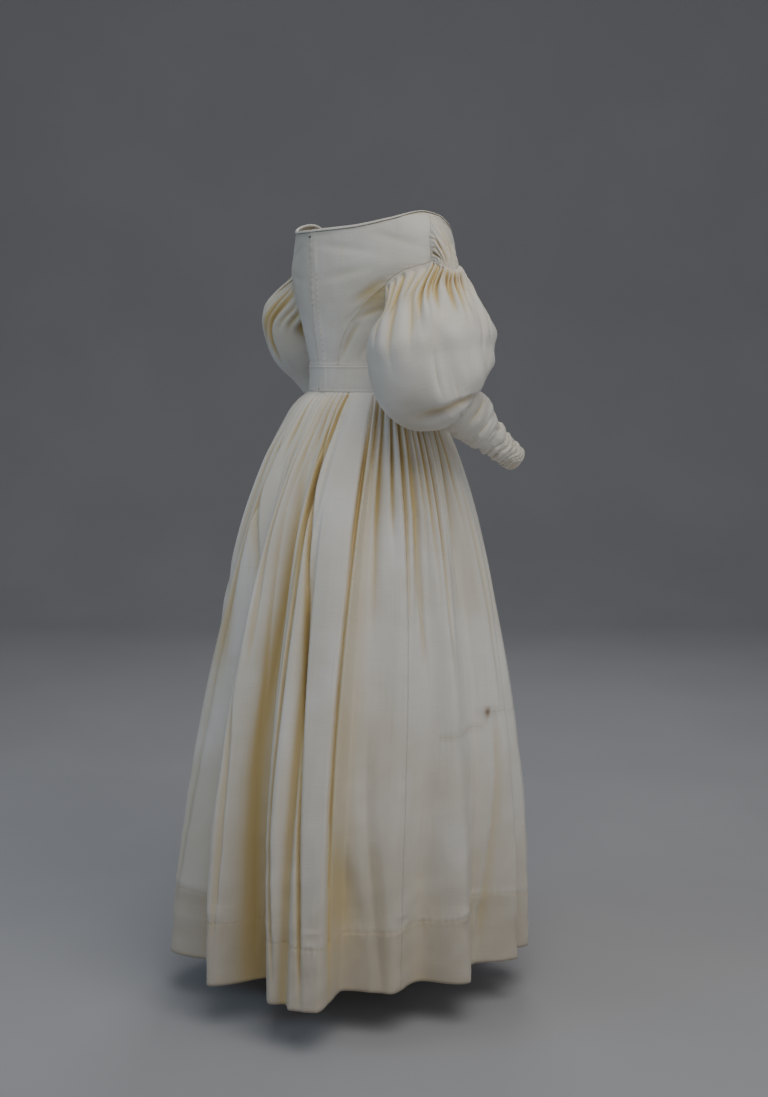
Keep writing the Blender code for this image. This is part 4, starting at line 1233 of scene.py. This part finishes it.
@dataclass
class Sleeve:
    """One sleeve: the ruched cap, the full puff and the close lower sleeve.

    Attributes:
        swing: angle by which the arm reaches further forwards than the right one.
        cap_edge: lower edge of the cap at armhole rows 11, 12 and 13.
        cap_tip: gap between the armhole and each end of that edge.
        cap_bulge: how far the cap rounds out over the shoulder.
        cap_top_gap: gap, less the overlap, between the armhole and the cap's upper edge.
        cap_creases: number of creases across the cap.
        cap_half_turn: how far the creases reach each way from the shoulder, in armhole rows.
        cap_crease_depth: least depth, and what chance adds.
        puff_rings: centre, forward tilt, reach to the outer side, the inner side, the back and the
            front, the rise of its outer side, and its share of the arm's swing.
        second_ring_swing: share of the arm's swing of the ring just under the puff's head.
        puff_fineness: columns of points for each of the armhole's columns.
        puff_gather_count: number of gathers round the puff's head.
        puff_gather_depth, puff_gather_half: least value, and what a gather's size adds, the half width
            counted in columns.
        foot_gather_depth: least depth of the gathers at the foot, and what chance adds.
        puff_creases: column, start and end ring, half width in columns, depth.
        overhang: column and ring of points on the crease where the puff hangs over the lower sleeve.
        overhang_depth: depth of that crease, and height of the lobe under it.
        wrist: centre of the lower sleeve's open end.
        elbow_lap: how far the lower sleeve reaches into the puff.
        forearm_rings: share of the way to the wrist, radius, reach to the front.
        forearm_rolls: share of the way of each crease between the rolls of the pushed-up sleeve.
        roll_heights: share of the way, height of the rolls there.
    """

    materials: dict[str, bpy.types.Material]
    side: Side
    swing: float
    armhole: Armhole = field(default_factory=Armhole)
    cap_edge: Table = ((-0.224, -0.033, 0.205), (-0.235, -0.013, 0.200), (-0.231, 0.007, 0.206))
    cap_tip: float = 0.0016
    cap_bulge: float = 0.021
    cap_top_gap: float = -0.0003
    cap_creases: int = 22
    cap_half_turn: float = 2.05
    cap_crease_depth: Numbers = (0.0020, 0.0030)
    cap_shade: Shade = Shade(0.0, 120.0, 0.60)
    puff_rings: Table = (
        (-0.206, 0.012, 0.139, 0.0, 0.075, 0.053, 0.086, 0.076, 0.032, 0.35),
        (-0.220, 0.018, 0.103, 3.0, 0.098, 0.076, 0.110, 0.094, 0.016, 0.75),
        (-0.228, 0.021, 0.064, 9.0, 0.102, 0.084, 0.116, 0.098, 0.005, 1.0),
        (-0.233, 0.018, 0.022, 23.0, 0.100, 0.082, 0.106, 0.098, 0.000, 1.0),
        (-0.236, 0.006, -0.008, 42.0, 0.079, 0.062, 0.076, 0.082, 0.000, 1.0),
        (-0.230, -0.019, -0.024, 61.4, 0.037, 0.036, 0.037, 0.037, 0.000, 1.0),
    )
    second_ring_swing: float = 0.08
    puff_fineness: int = 6
    puff_gather_count: int = 34
    puff_gather_depth: Numbers = (0.0048, 0.0100)
    puff_gather_half: Numbers = (0.46, 0.34)
    foot_gather_depth: Numbers = (0.0025, 0.0030)
    puff_creases: Table = (
        (9.0, 3.6, 5.2, 1.2, 0.0030),
        (13.0, 1.0, 4.2, 1.2, 0.0050),
        (15.5, 1.0, 4.6, 1.2, 0.0055),
        (18.0, 1.2, 4.0, 1.3, 0.0045),
        (5.0, 4.4, 5.8, 3.0, 0.0024),
        (1.0, 3.8, 5.2, 2.6, 0.0020),
        (48.0, 2.6, 4.4, 1.8, 0.0030),
        (44.0, 1.4, 4.0, 1.4, 0.0045),
        (39.0, 1.2, 4.6, 1.3, 0.0050),
        (33.0, 1.6, 5.0, 1.3, 0.0045),
        (27.0, 1.2, 4.8, 1.4, 0.0045),
    )
    overhang: Table = ((-5.0, 6.2), (-3.0, 6.1), (1.0, 5.8), (5.2, 5.55), (9.7, 5.5), (18.0, 5.5))
    overhang_depth: Numbers = (0.0085, 0.0045)
    puff_shade: Shade = Shade(0.0012, 120.0, 0.84)
    overhang_shade: Shade = Shade(0.0, 60.0, 0.45)
    wrist: Numbers = (-0.195, -0.181, -0.115)
    elbow_lap: float = 0.0045
    forearm_shade: Shade = Shade(0.0006, 150.0, 0.80)
    forearm_columns: int = 108
    forearm_rings: Table = (
        (0.00, 0.0345, 0.0345),
        (0.07, 0.0385, 0.0430),
        (0.20, 0.0370, 0.0530),
        (0.29, 0.0330, 0.0520),
        (0.36, 0.0350, 0.0500),
        (0.46, 0.0330, 0.0390),
        (0.54, 0.0280, 0.0290),
        (0.62, 0.0290, 0.0320),
        (0.70, 0.0255, 0.0250),
        (0.76, 0.0275, 0.0270),
        (0.83, 0.0250, 0.0245),
        (0.91, 0.0258, 0.0240),
        (1.00, 0.0238, 0.0225),
    )
    forearm_rolls: Numbers = (-0.06, 0.20, 0.40, 0.54, 0.66, 0.75, 0.82, 0.88, 0.93, 0.97, 1.03)
    roll_heights: Table = ((0.0, 0.0120), (0.4, 0.0095), (0.7, 0.0056), (1.0, 0.0028))

    def name(self, part: str) -> str:
        """Returns the node's name of one part of this sleeve."""
        return f"sleeve_{part}_{self.side.name.lower()}"

    def mirrored(self, points: np.ndarray) -> np.ndarray:
        """Returns the right sleeve's points on this sleeve's side."""
        return points * (self.side.value, 1.0, 1.0)

    def swung(self, points: np.ndarray, shares: np.ndarray) -> np.ndarray:
        """Returns rows of points turned forwards about the shoulder, each by a share of the swing."""
        turn = np.radians(self.swing * shares).reshape(-1, *[1] * (points.ndim - 2))
        y, z = points[..., 1], points[..., 2] - SHOULDER_HEIGHT
        forward = y * np.cos(turn) + z * np.sin(turn)
        up = z * np.cos(turn) - y * np.sin(turn) + SHOULDER_HEIGHT
        return np.stack([points[..., 0], forward, up], -1)

    def ring(self, angles: np.ndarray, row: Numbers) -> np.ndarray:
        """Returns a ring of points round the arm: centre, tilt, four reaches and lift."""
        x, y, z, tilt, outer, inner, back, front, lift = row[:9]
        sine, cosine = np.sin(np.radians(angles)), np.cos(np.radians(angles))
        side = np.where(sine > 0, outer, inner) * sine
        fore = np.where(cosine > 0, back, front) * cosine
        turn = math.radians(tilt)
        return np.stack([x - side, y + fore * math.cos(turn), z - fore * math.sin(turn) + lift * sine], -1)

    def cap_line(self, position: np.ndarray) -> np.ndarray:
        """Returns the cap's lower edge at armhole positions from its start to its end."""
        hole = self.armhole
        tips, _, away = hole.edge(np.array([hole.cap_start, hole.cap_end]))
        tips = tips + self.cap_tip * away
        rows = (tuple(tips[0]), *self.cap_edge, tuple(tips[1]))
        keys = np.arange(hole.cap_start, hole.cap_start + len(rows))
        return np.stack([smooth(keys, column(rows, k), position) for k in range(3)], -1)

    def build_cap(self) -> None:
        """Builds the crescent over the shoulder, drawn up in fine creases that run out from the armhole."""
        hole = self.armhole
        position = spread(hole.cap_start, hole.cap_end, 160, 0.3)
        top, _, away = hole.edge(position)
        low = self.cap_line(position) + (0, 0, SEAM_GAP)
        top = top + self.cap_top_gap * away
        reach = np.linalg.norm(top - low, axis=-1, keepdims=True)
        bulge = unit(np.array([-1.0, 0.0, 0.35])) * self.cap_bulge * rise(0.0, 0.08, reach)
        v = spread(0, 1, 36, 0.4)[:, None, None]
        form = (1 - v) ** 2 * top + 2 * v * (1 - v) * ((top + low) / 2 + bulge) + v**2 * low
        inside = np.array([-0.15, 0.0, 0.18])
        normals = outward(form, inside)
        drawn = np.zeros(form.shape[:2])
        down = v[..., 0]
        chance, half_turn = np.random.default_rng(53), self.cap_half_turn
        for k in range(self.cap_creases):
            jitter, lean, size, start, end = chance.uniform(0, 1, 5)
            centre = -half_turn + (k + 0.2 + 0.6 * jitter) * 2 * half_turn / self.cap_creases
            slope = (0.42 + 0.25 * (lean - 0.5)) * centre
            sway = 0.05 * np.sin(3 * np.pi * down + 6 * lean)
            away = position[None] - 12.0 - centre + slope * down + sway
            span = hump(-0.25 + 0.3 * start, 1.25 - 0.3 * end, down, 0.25)
            drawn += grown(self.cap_crease_depth, size**2) * valley(away, 0.095, 1.2) * span
        cross = 0.0009 * Ripple(59, 0.35, 0.22).at(position[None], down)
        room = rise(0.003, 0.03, reach[..., 0]) * (0.30 + 0.70 * np.sin(np.pi * np.clip(down, 0.06, 0.94)))
        grid = form + ((0.0016 + cross - drawn) * room)[..., None] * normals
        # painted shade in the cap's creases
        Sheet(self.name("cap"), self.mirrored(grid), (0.16, 0.075), Held.GATHERED, self.mirrored(inside),
              painted_shade=self.cap_shade.at(drawn * room), tint=0.34, finish=RUMPLED_SILK,
              area=0.0066).build(self.materials)

    def puff_form(self, position: np.ndarray) -> tuple[np.ndarray, np.ndarray]:
        """Returns the puff's guiding rings and each one's share of the swing."""
        hole = self.armhole
        angles = smooth(np.arange(13), (*column(hole.rows, 2), hole.rows[0][2] - 360), position)
        edge, out, away = hole.edge(position)
        start = edge - 0.0014 * away - 0.0010 * out
        lap = np.where(position <= hole.cap_end - 12, position + 12, position)
        under_cap = lap >= hole.cap_start
        low = self.cap_line(lap[under_cap]) + (0, 0, 0.0012)
        start[under_cap] = low - 0.0009 * unit(low - low.mean(0))
        flare = np.where(under_cap[:, None], unit(start - start.mean(0)), out)
        along = np.array([-0.35, 0.0, -1.0]) + np.where(under_cap[:, None], 0.0, 0.4) * away
        second = start + 0.0050 * flare + 0.010 * along
        rings = [start, second] + [self.ring(angles, row) for row in self.puff_rings]
        shares = np.array([0.0, self.second_ring_swing, *column(self.puff_rings, 9)])
        return np.stack(rings), shares

    def puff_gathers(self, s: np.ndarray, c: np.ndarray, turns: int) -> np.ndarray:
        """Returns how far the puff's gathers draw it in at rings `s` and columns `c`."""
        chance = np.random.default_rng(61 + int(self.side.value))
        drawn = np.zeros(np.broadcast(s, c).shape)
        pitch = turns / self.puff_gather_count
        for k in range(self.puff_gather_count):
            jitter, length, size, lean = chance.uniform(0, 1, 4)
            centre = (k + 0.5 + 0.5 * (jitter - 0.5)) * pitch + 1.8 * (lean - 0.5) * rise(1, 3.2, s)
            end = 2.3 + 0.9 * length + 0.8 * size**2
            fade = rise(0.15, 1.7, s) * (1 - rise(0.40 * end, end, s))
            half = grown(self.puff_gather_half, size) + 0.35 * rise(1, 2.5, s)
            cut = valley(wrapped(c - centre, turns), half, 1.1)
            drawn += grown(self.puff_gather_depth, size) * fade * cut
        for k in range(turns // 4):
            jitter, length, size = chance.uniform(0, 1, 3)
            fade = rise(5.5 + 0.7 * length, 6.7, s)
            cut = valley(wrapped(c - 4 * k - 2 - (jitter - 0.5), turns), 1.5, 1.3)
            drawn += grown(self.foot_gather_depth, size) * fade * cut
        for place, start, end, half, depth in self.puff_creases:
            drawn += depth * valley(wrapped(c - place, turns), half, 1.5) * hump(start, end, s, 0.45)
        return drawn

    def build_puff(self) -> None:
        """Builds the full puff, gathered above into the armhole and cap and below into the lower sleeve."""
        position = self.armhole.column_positions(self.puff_fineness)
        place = np.arange(len(position)) / self.puff_fineness
        rings, shares = self.puff_form(position)
        rings = self.swung(rings, shares)
        along = joined(np.linspace(0, 1, 11), np.linspace(1, 3, 26), np.linspace(3, 5, 22),
                       spread(5, 7, 32, 0.3))
        form = catmull(rings, along)
        inside = form.mean(1)
        normals = outward(form, inside, ring=True)
        s, c = along[:, None], place[None]
        turns = int(place[-1] + 1)
        drawn = self.puff_gathers(s, c, turns)
        round_back = (c + 20) % turns - 20
        hang = s - np.interp(round_back, column(self.overhang, 0), column(self.overhang, 1))
        dent, height = self.overhang_depth
        dents = dent * hump(-5.0, 17.5, round_back, 0.25) * valley(hang, 0.26, 0.9)
        lobe = height * hump(4.0, 18.0, round_back, 0.35) * hump(0.10, 0.95, hang, 0.4)
        soft = 0.0040 * Ripple(67, 4.0, 0.9, turns // 4).at(c + 1.2 * s, s) * hump(1.6, 6.6, s, 0.2)
        soft += 0.0006 * Ripple(71, 2.0, 0.60, turns // 2).at(c + 1.4 * s, s) * hump(2.4, 7.0, s, 0.2)
        tuck = 0.0026 * rise(6.8, 7.0, s)
        proud = 0.0034 * hump(0.0, 4.0, s, 0.16)
        grid = form + (soft + lobe - drawn - dents + proud - tuck)[..., None] * normals
        # painted shade in the gathers and under the overhang, and painted warm light on the puff's upper
        # part
        painted_shade = self.puff_shade.at(drawn) * rise(-0.3, 0.8, s) + self.overhang_shade.at(dents)
        painted_shade = painted_shade + 0.16 * rise(3.4, 1.0, s)
        Sheet(self.name("puff"), self.mirrored(grid), (0.70, 0.31), Held.GATHERED, self.mirrored(inside),
              painted_shade=painted_shade, tint=0.12 + 0.06 * rise(2.6, 0, s), ring=True).build(self.materials)

    def build_forearm(self) -> None:
        """Builds the close lower sleeve, pushed up the arm into slanting folds."""
        share = joined(spread(0, 0.3, 30, 0.2), np.linspace(0.3, 1.0, 92))
        angles = np.linspace(0, 360, self.forearm_columns, endpoint=False)
        form = self.forearm_form(angles, share)
        inside = form.mean(1)
        down, across = share[:, None], angles[None]
        rolls = self.forearm_folds(across, down)
        slanted = down + 0.045 * np.sin(np.radians(across) + 0.6)
        wrinkle = 0.0016 * np.abs(Ripple(73, 36.0, 0.055, 10).at(across, slanted))
        fine = np.abs(Ripple(75, 24.0, 0.020, 15).at(across, slanted))
        wrinkle += 0.0014 * fine * rise(0.35, 0.85, down)
        room = rise(0.0, 0.07, down) * (1 - rise(0.95, 1.02, down))
        depth = (rolls - 0.0006 - wrinkle) * room
        grid = form + depth[..., None] * outward(form, inside, ring=True)
        # painted shade between the rolls and in the wrinkles
        painted_shade = self.forearm_shade.at(wrinkle - rolls) * room
        Sheet(self.name("lower"), self.mirrored(grid), (0.22, 0.21), Held.GATHERED, self.mirrored(inside),
              painted_shade=painted_shade, tint=0.03 + 0.14 * rise(0.7, 1.0, down), ring=True,
              finish=RUMPLED_SILK).build(self.materials)

    def forearm_form(self, angles: np.ndarray, share: np.ndarray) -> np.ndarray:
        """Returns the lower sleeve's plain rings at shares of the way to the wrist."""
        *elbow, tilt = self.puff_rings[-1][:4]
        elbow, wrist = np.array(elbow), np.array(self.wrist)
        elbow = elbow - self.elbow_lap * unit(wrist - elbow)
        keys = column(self.forearm_rings, 0)
        radius, front = (smooth(keys, column(self.forearm_rings, k), share) for k in (1, 2))
        rings = []
        for at, reach, fore in zip(share, radius, front):
            centre = elbow + (wrist - elbow) * at
            rings.append(self.ring(angles, (*centre, tilt, reach, reach, reach, fore, 0.0)))
        return self.swung(np.stack(rings), np.ones(len(share)))

    def forearm_folds(self, across: np.ndarray, down: np.ndarray) -> np.ndarray:
        """Returns how far the slanting rolls of the pushed-up sleeve stand out."""
        turn = np.radians(across)
        slant = (0.075 * np.cos(turn - 1.0) + 0.030 * np.sin(2 * turn + 0.6)) * (1.15 - 0.6 * down)
        warped = down + slant + 0.050 * Ripple(77, 45.0, 0.16, 8).at(across, down)
        count = np.interp(warped, self.forearm_rolls, np.arange(len(self.forearm_rolls)))
        part = count - np.floor(count)
        uneven = 0.52 + 0.48 * Ripple(79, 60.0, 0.13, 6).at(across + 120 * down, down)
        height = smooth(column(self.roll_heights, 0), column(self.roll_heights, 1), down)
        return height * uneven * ((4 * part * (1 - part)) ** 0.6 - 0.55)

    def build(self) -> None:
        """Builds the sleeve."""
        self.build_cap()
        self.build_puff()
        self.build_forearm()


@dataclass
class Stitches:
    """Hand stitches that show outside: short, thick threads lying in rows.

    Attributes:
        length: length of one stitch.
        thickness: thickness of the thread.
        placket_edge: how far the stitches at the centre back lie from it.
        placket_pitch: height from one of them to the next.
        placket_top: height where they end.
        proud: how far a stitch's middle stands off the cloth.
    """

    materials: dict[str, bpy.types.Material]
    torso: Torso = field(default_factory=Torso)
    length: float = 0.0042
    thickness: float = 0.0009
    placket_edge: float = 0.0152
    placket_pitch: float = 0.0092
    placket_top: float = 0.205
    proud: float = 0.00015

    def model(self) -> bpy.types.Object:
        """Models one stitch at the origin, lying along X."""
        bpy.ops.object.select_all(action="DESELECT")
        bpy.ops.mesh.primitive_uv_sphere_add(segments=8, ring_count=5, radius=0.5)
        bpy.ops.object.mode_set(mode="EDIT")
        bpy.ops.mesh.select_all(action="SELECT")
        bpy.ops.transform.resize(value=(self.length, self.thickness, self.thickness))
        bpy.ops.object.mode_set(mode="OBJECT")
        return bpy.context.object

    def sew(self, name: str, places: list[tuple[np.ndarray, np.ndarray, np.ndarray]]) -> None:
        """Copies the stitch to each place and joins the copies into one piece.

        Args:
            name: the piece's name.
            places: each stitch's point, the way that it runs and the way out of the cloth.
        """
        one = self.model()
        copies = []
        for point, way, face in places:
            along = unit(way)
            side = unit(np.cross(face, along))
            up = np.cross(along, side)
            turn = Matrix(np.column_stack([along, side, up]).tolist()).to_4x4()
            copy = one.copy()
            copy.data = one.data.copy()
            copy.data.transform(Matrix.Translation((point + self.proud * up).tolist()) @ turn)
            bpy.context.scene.collection.objects.link(copy)
            copies.append(copy)
        bpy.data.objects.remove(one)
        bpy.ops.object.select_all(action="DESELECT")
        for copy in copies:
            copy.select_set(True)
        bpy.context.view_layer.objects.active = copies[0]
        bpy.ops.object.join()
        piece = bpy.context.object
        piece.name = name
        bpy.ops.object.shade_smooth()
        piece.data.materials.append(self.materials[THREAD.name])
        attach(piece, "root")
        LOG.info("%s: %d stitches", name, len(places))

    def placket(self) -> list[tuple[np.ndarray, np.ndarray, np.ndarray]]:
        """Returns the places of the stitches down the edge of the closed centre back."""
        angles = np.linspace(0, 30, 301)
        places = []
        for height in np.arange(BAND_HEIGHT + 0.008, self.placket_top, self.placket_pitch):
            points = self.torso.point(angles, height)
            angle = float(np.interp(self.placket_edge, -points[:, 0], angles))
            here, above = self.torso.point(angle, height), self.torso.point(angle, height + 0.003)
            out = self.torso.normal(angle, height)
            places.append((here + 0.0008 * out, above - here, out))
        return places

    def build(self, skirt: Skirt) -> None:
        """Sews the centre back, the join on the right side and the hem."""
        self.sew("placket_stitches", self.placket())
        for name, places in skirt.stitches.items():
            self.sew(name, places)


def catmull(rings: np.ndarray, at: np.ndarray) -> np.ndarray:
    """Reads a smooth surface through rows of points.

    Args:
        rings: the rows, each of as many points.
        at: places between rows, counted in rows.

    Returns:
        A row of points for each place.
    """
    padded = np.concatenate([2 * rings[:1] - rings[1:2], rings, 2 * rings[-1:] - rings[-2:-1]])
    i = np.clip(np.floor(at).astype(int), 0, len(rings) - 2)
    t = (at - i)[:, None, None]
    before, start, end, after = (padded[i + k] for k in range(4))
    return 0.5 * (2 * start + (end - before) * t + (2 * before - 5 * start + 4 * end - after) * t**2
                  + (3 * start - before - 3 * end + after) * t**3)


@dataclass
class Studio:
    """The floor, the backdrop, the lights and the camera.

    Attributes:
        toward: level direction from the dress to the camera.
        right: level direction to the camera's right.
        distance: distance from the dress's middle to the camera.
        offset: how far the camera stands to the right.
        camera_height: its height over the waist seam.
        pitch: how far it looks down.
        lens, sensor: its focal length and film width, in millimetres.
        lights: name, place along right, toward and up from the waist, size, power and colour.
        sweep: where the floor starts and where it turns up, how wide it is to each side, the radius of the
            turn, and the backdrop's height.
    """

    materials: dict[str, bpy.types.Material]
    toward: Numbers = (-0.8192, 0.5736, 0.0)
    right: Numbers = (-0.5736, -0.8192, 0.0)
    distance: float = 2.7
    offset: float = 0.033
    camera_height: float = 0.07
    pitch: float = 7.4
    lens: float = 50.0
    sensor: float = 36.0
    lights: tuple[tuple[str, Numbers, float, float, Numbers], ...] = (
        ("top_light", (0.5, 1.5, 1.9), 2.0, 35.0, (1.0, 0.97, 0.92)),
        ("left_light", (-2.6, 0.9, 0.9), 1.0, 12.0, (0.56, 0.77, 1.0)),
        ("right_light", (2.1, 1.5, 0.0), 1.4, 6.5, (0.96, 0.98, 1.0)),
        ("back_light", (0.4, -2.6, 1.6), 1.2, 16.0, (0.96, 0.98, 1.0)),
    )
    sweep: Numbers = (-6.0, 3.6, 9.0, 1.4, 6.5)

    def build_floor(self) -> None:
        """Builds a pale floor that sweeps up into a backdrop."""
        start, reach, half_width, radius, top = self.sweep
        turn = np.radians(np.linspace(0, 90, 24))
        rounded = [(reach + radius * math.sin(t), radius - radius * math.cos(t)) for t in turn]
        profile = [(start, 0.0), *rounded, (reach + radius, top)]
        away, right = -np.array(self.toward), np.array(self.right)
        points = [away * along + right * side + np.array([0, 0, FLOOR_HEIGHT + up])
                  for side in (-half_width, half_width) for along, up in profile]
        count = len(profile)
        faces = [(k, k + 1, count + k + 1, count + k) for k in range(count - 1)]
        mesh = bpy.data.meshes.new("backdrop")
        mesh.from_pydata([tuple(point) for point in points], [], faces)
        mesh.shade_smooth()
        mesh.materials.append(self.materials[STAGE.name])
        backdrop = bpy.data.objects.new("backdrop", mesh)
        bpy.context.scene.collection.objects.link(backdrop)

    def add_light(self, name: str, place: Numbers, size: float, power: float,
                  colour: Numbers) -> None:
        """Adds a square soft light aimed at the dress."""
        bpy.ops.object.select_all(action="DESELECT")
        spot = Vector(self.right) * place[0] + Vector(self.toward) * place[1] + Vector((0, 0, place[2]))
        bpy.ops.object.light_add(type="AREA", location=spot)
        light = bpy.context.object
        light.name = name
        light.rotation_euler = (Vector((0, 0, -0.3)) - spot).to_track_quat("-Z", "Y").to_euler()
        light.data.size = size
        light.data.energy = power
        light.data.color = colour

    def build_lights(self) -> None:
        """Adds the four lights and a faint light from all round."""
        for light in self.lights:
            self.add_light(*light)
        world = bpy.data.worlds.new("studio")
        world.use_nodes = True
        sky = world.node_tree.nodes["Background"]
        sky.inputs["Color"].default_value = (0.80, 0.82, 0.87, 1.0)
        sky.inputs["Strength"].default_value = 0.20
        bpy.context.scene.world = world

    def build_camera(self) -> None:
        """Adds the camera at the photograph's angle."""
        toward, right, up = (Vector(self.toward), Vector(self.right), Vector((0, 0, 1)))
        ahead = -toward * math.cos(math.radians(self.pitch)) - up * math.sin(math.radians(self.pitch))
        place = toward * self.distance + right * self.offset + up * self.camera_height
        turn = Matrix((right, right.cross(ahead), -ahead)).transposed().to_4x4()
        data = bpy.data.cameras.new("camera")
        data.lens, data.sensor_width = self.lens, self.sensor
        camera = bpy.data.objects.new("camera", data)
        camera.matrix_world = Matrix.Translation(place) @ turn
        bpy.context.scene.collection.objects.link(camera)
        bpy.context.scene.camera = camera

    def build(self) -> None:
        """Builds the studio."""
        self.build_floor()
        self.build_lights()
        self.build_camera()


def main() -> None:
    """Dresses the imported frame."""
    logging.basicConfig(level=logging.INFO, format="%(message)s")
    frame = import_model()
    finishes = (SILK, RUMPLED_SILK, THREAD, WIRE, STAGE)
    materials = {finish.name: finish.material() for finish in finishes}
    for name in ("hook_neck", "hook_waist"):
        frame["nodes"][name].data.materials.clear()
        frame["nodes"][name].data.materials.append(materials[WIRE.name])
    Bodice(materials).build()
    skirt = Skirt(materials)
    skirt.build()
    Sleeve(materials, Side.RIGHT, 0.0).build()
    Sleeve(materials, Side.LEFT, 31.0).build()
    Stitches(materials).build(skirt)
    Studio(materials).build()


if __name__ == "__main__":
    main()
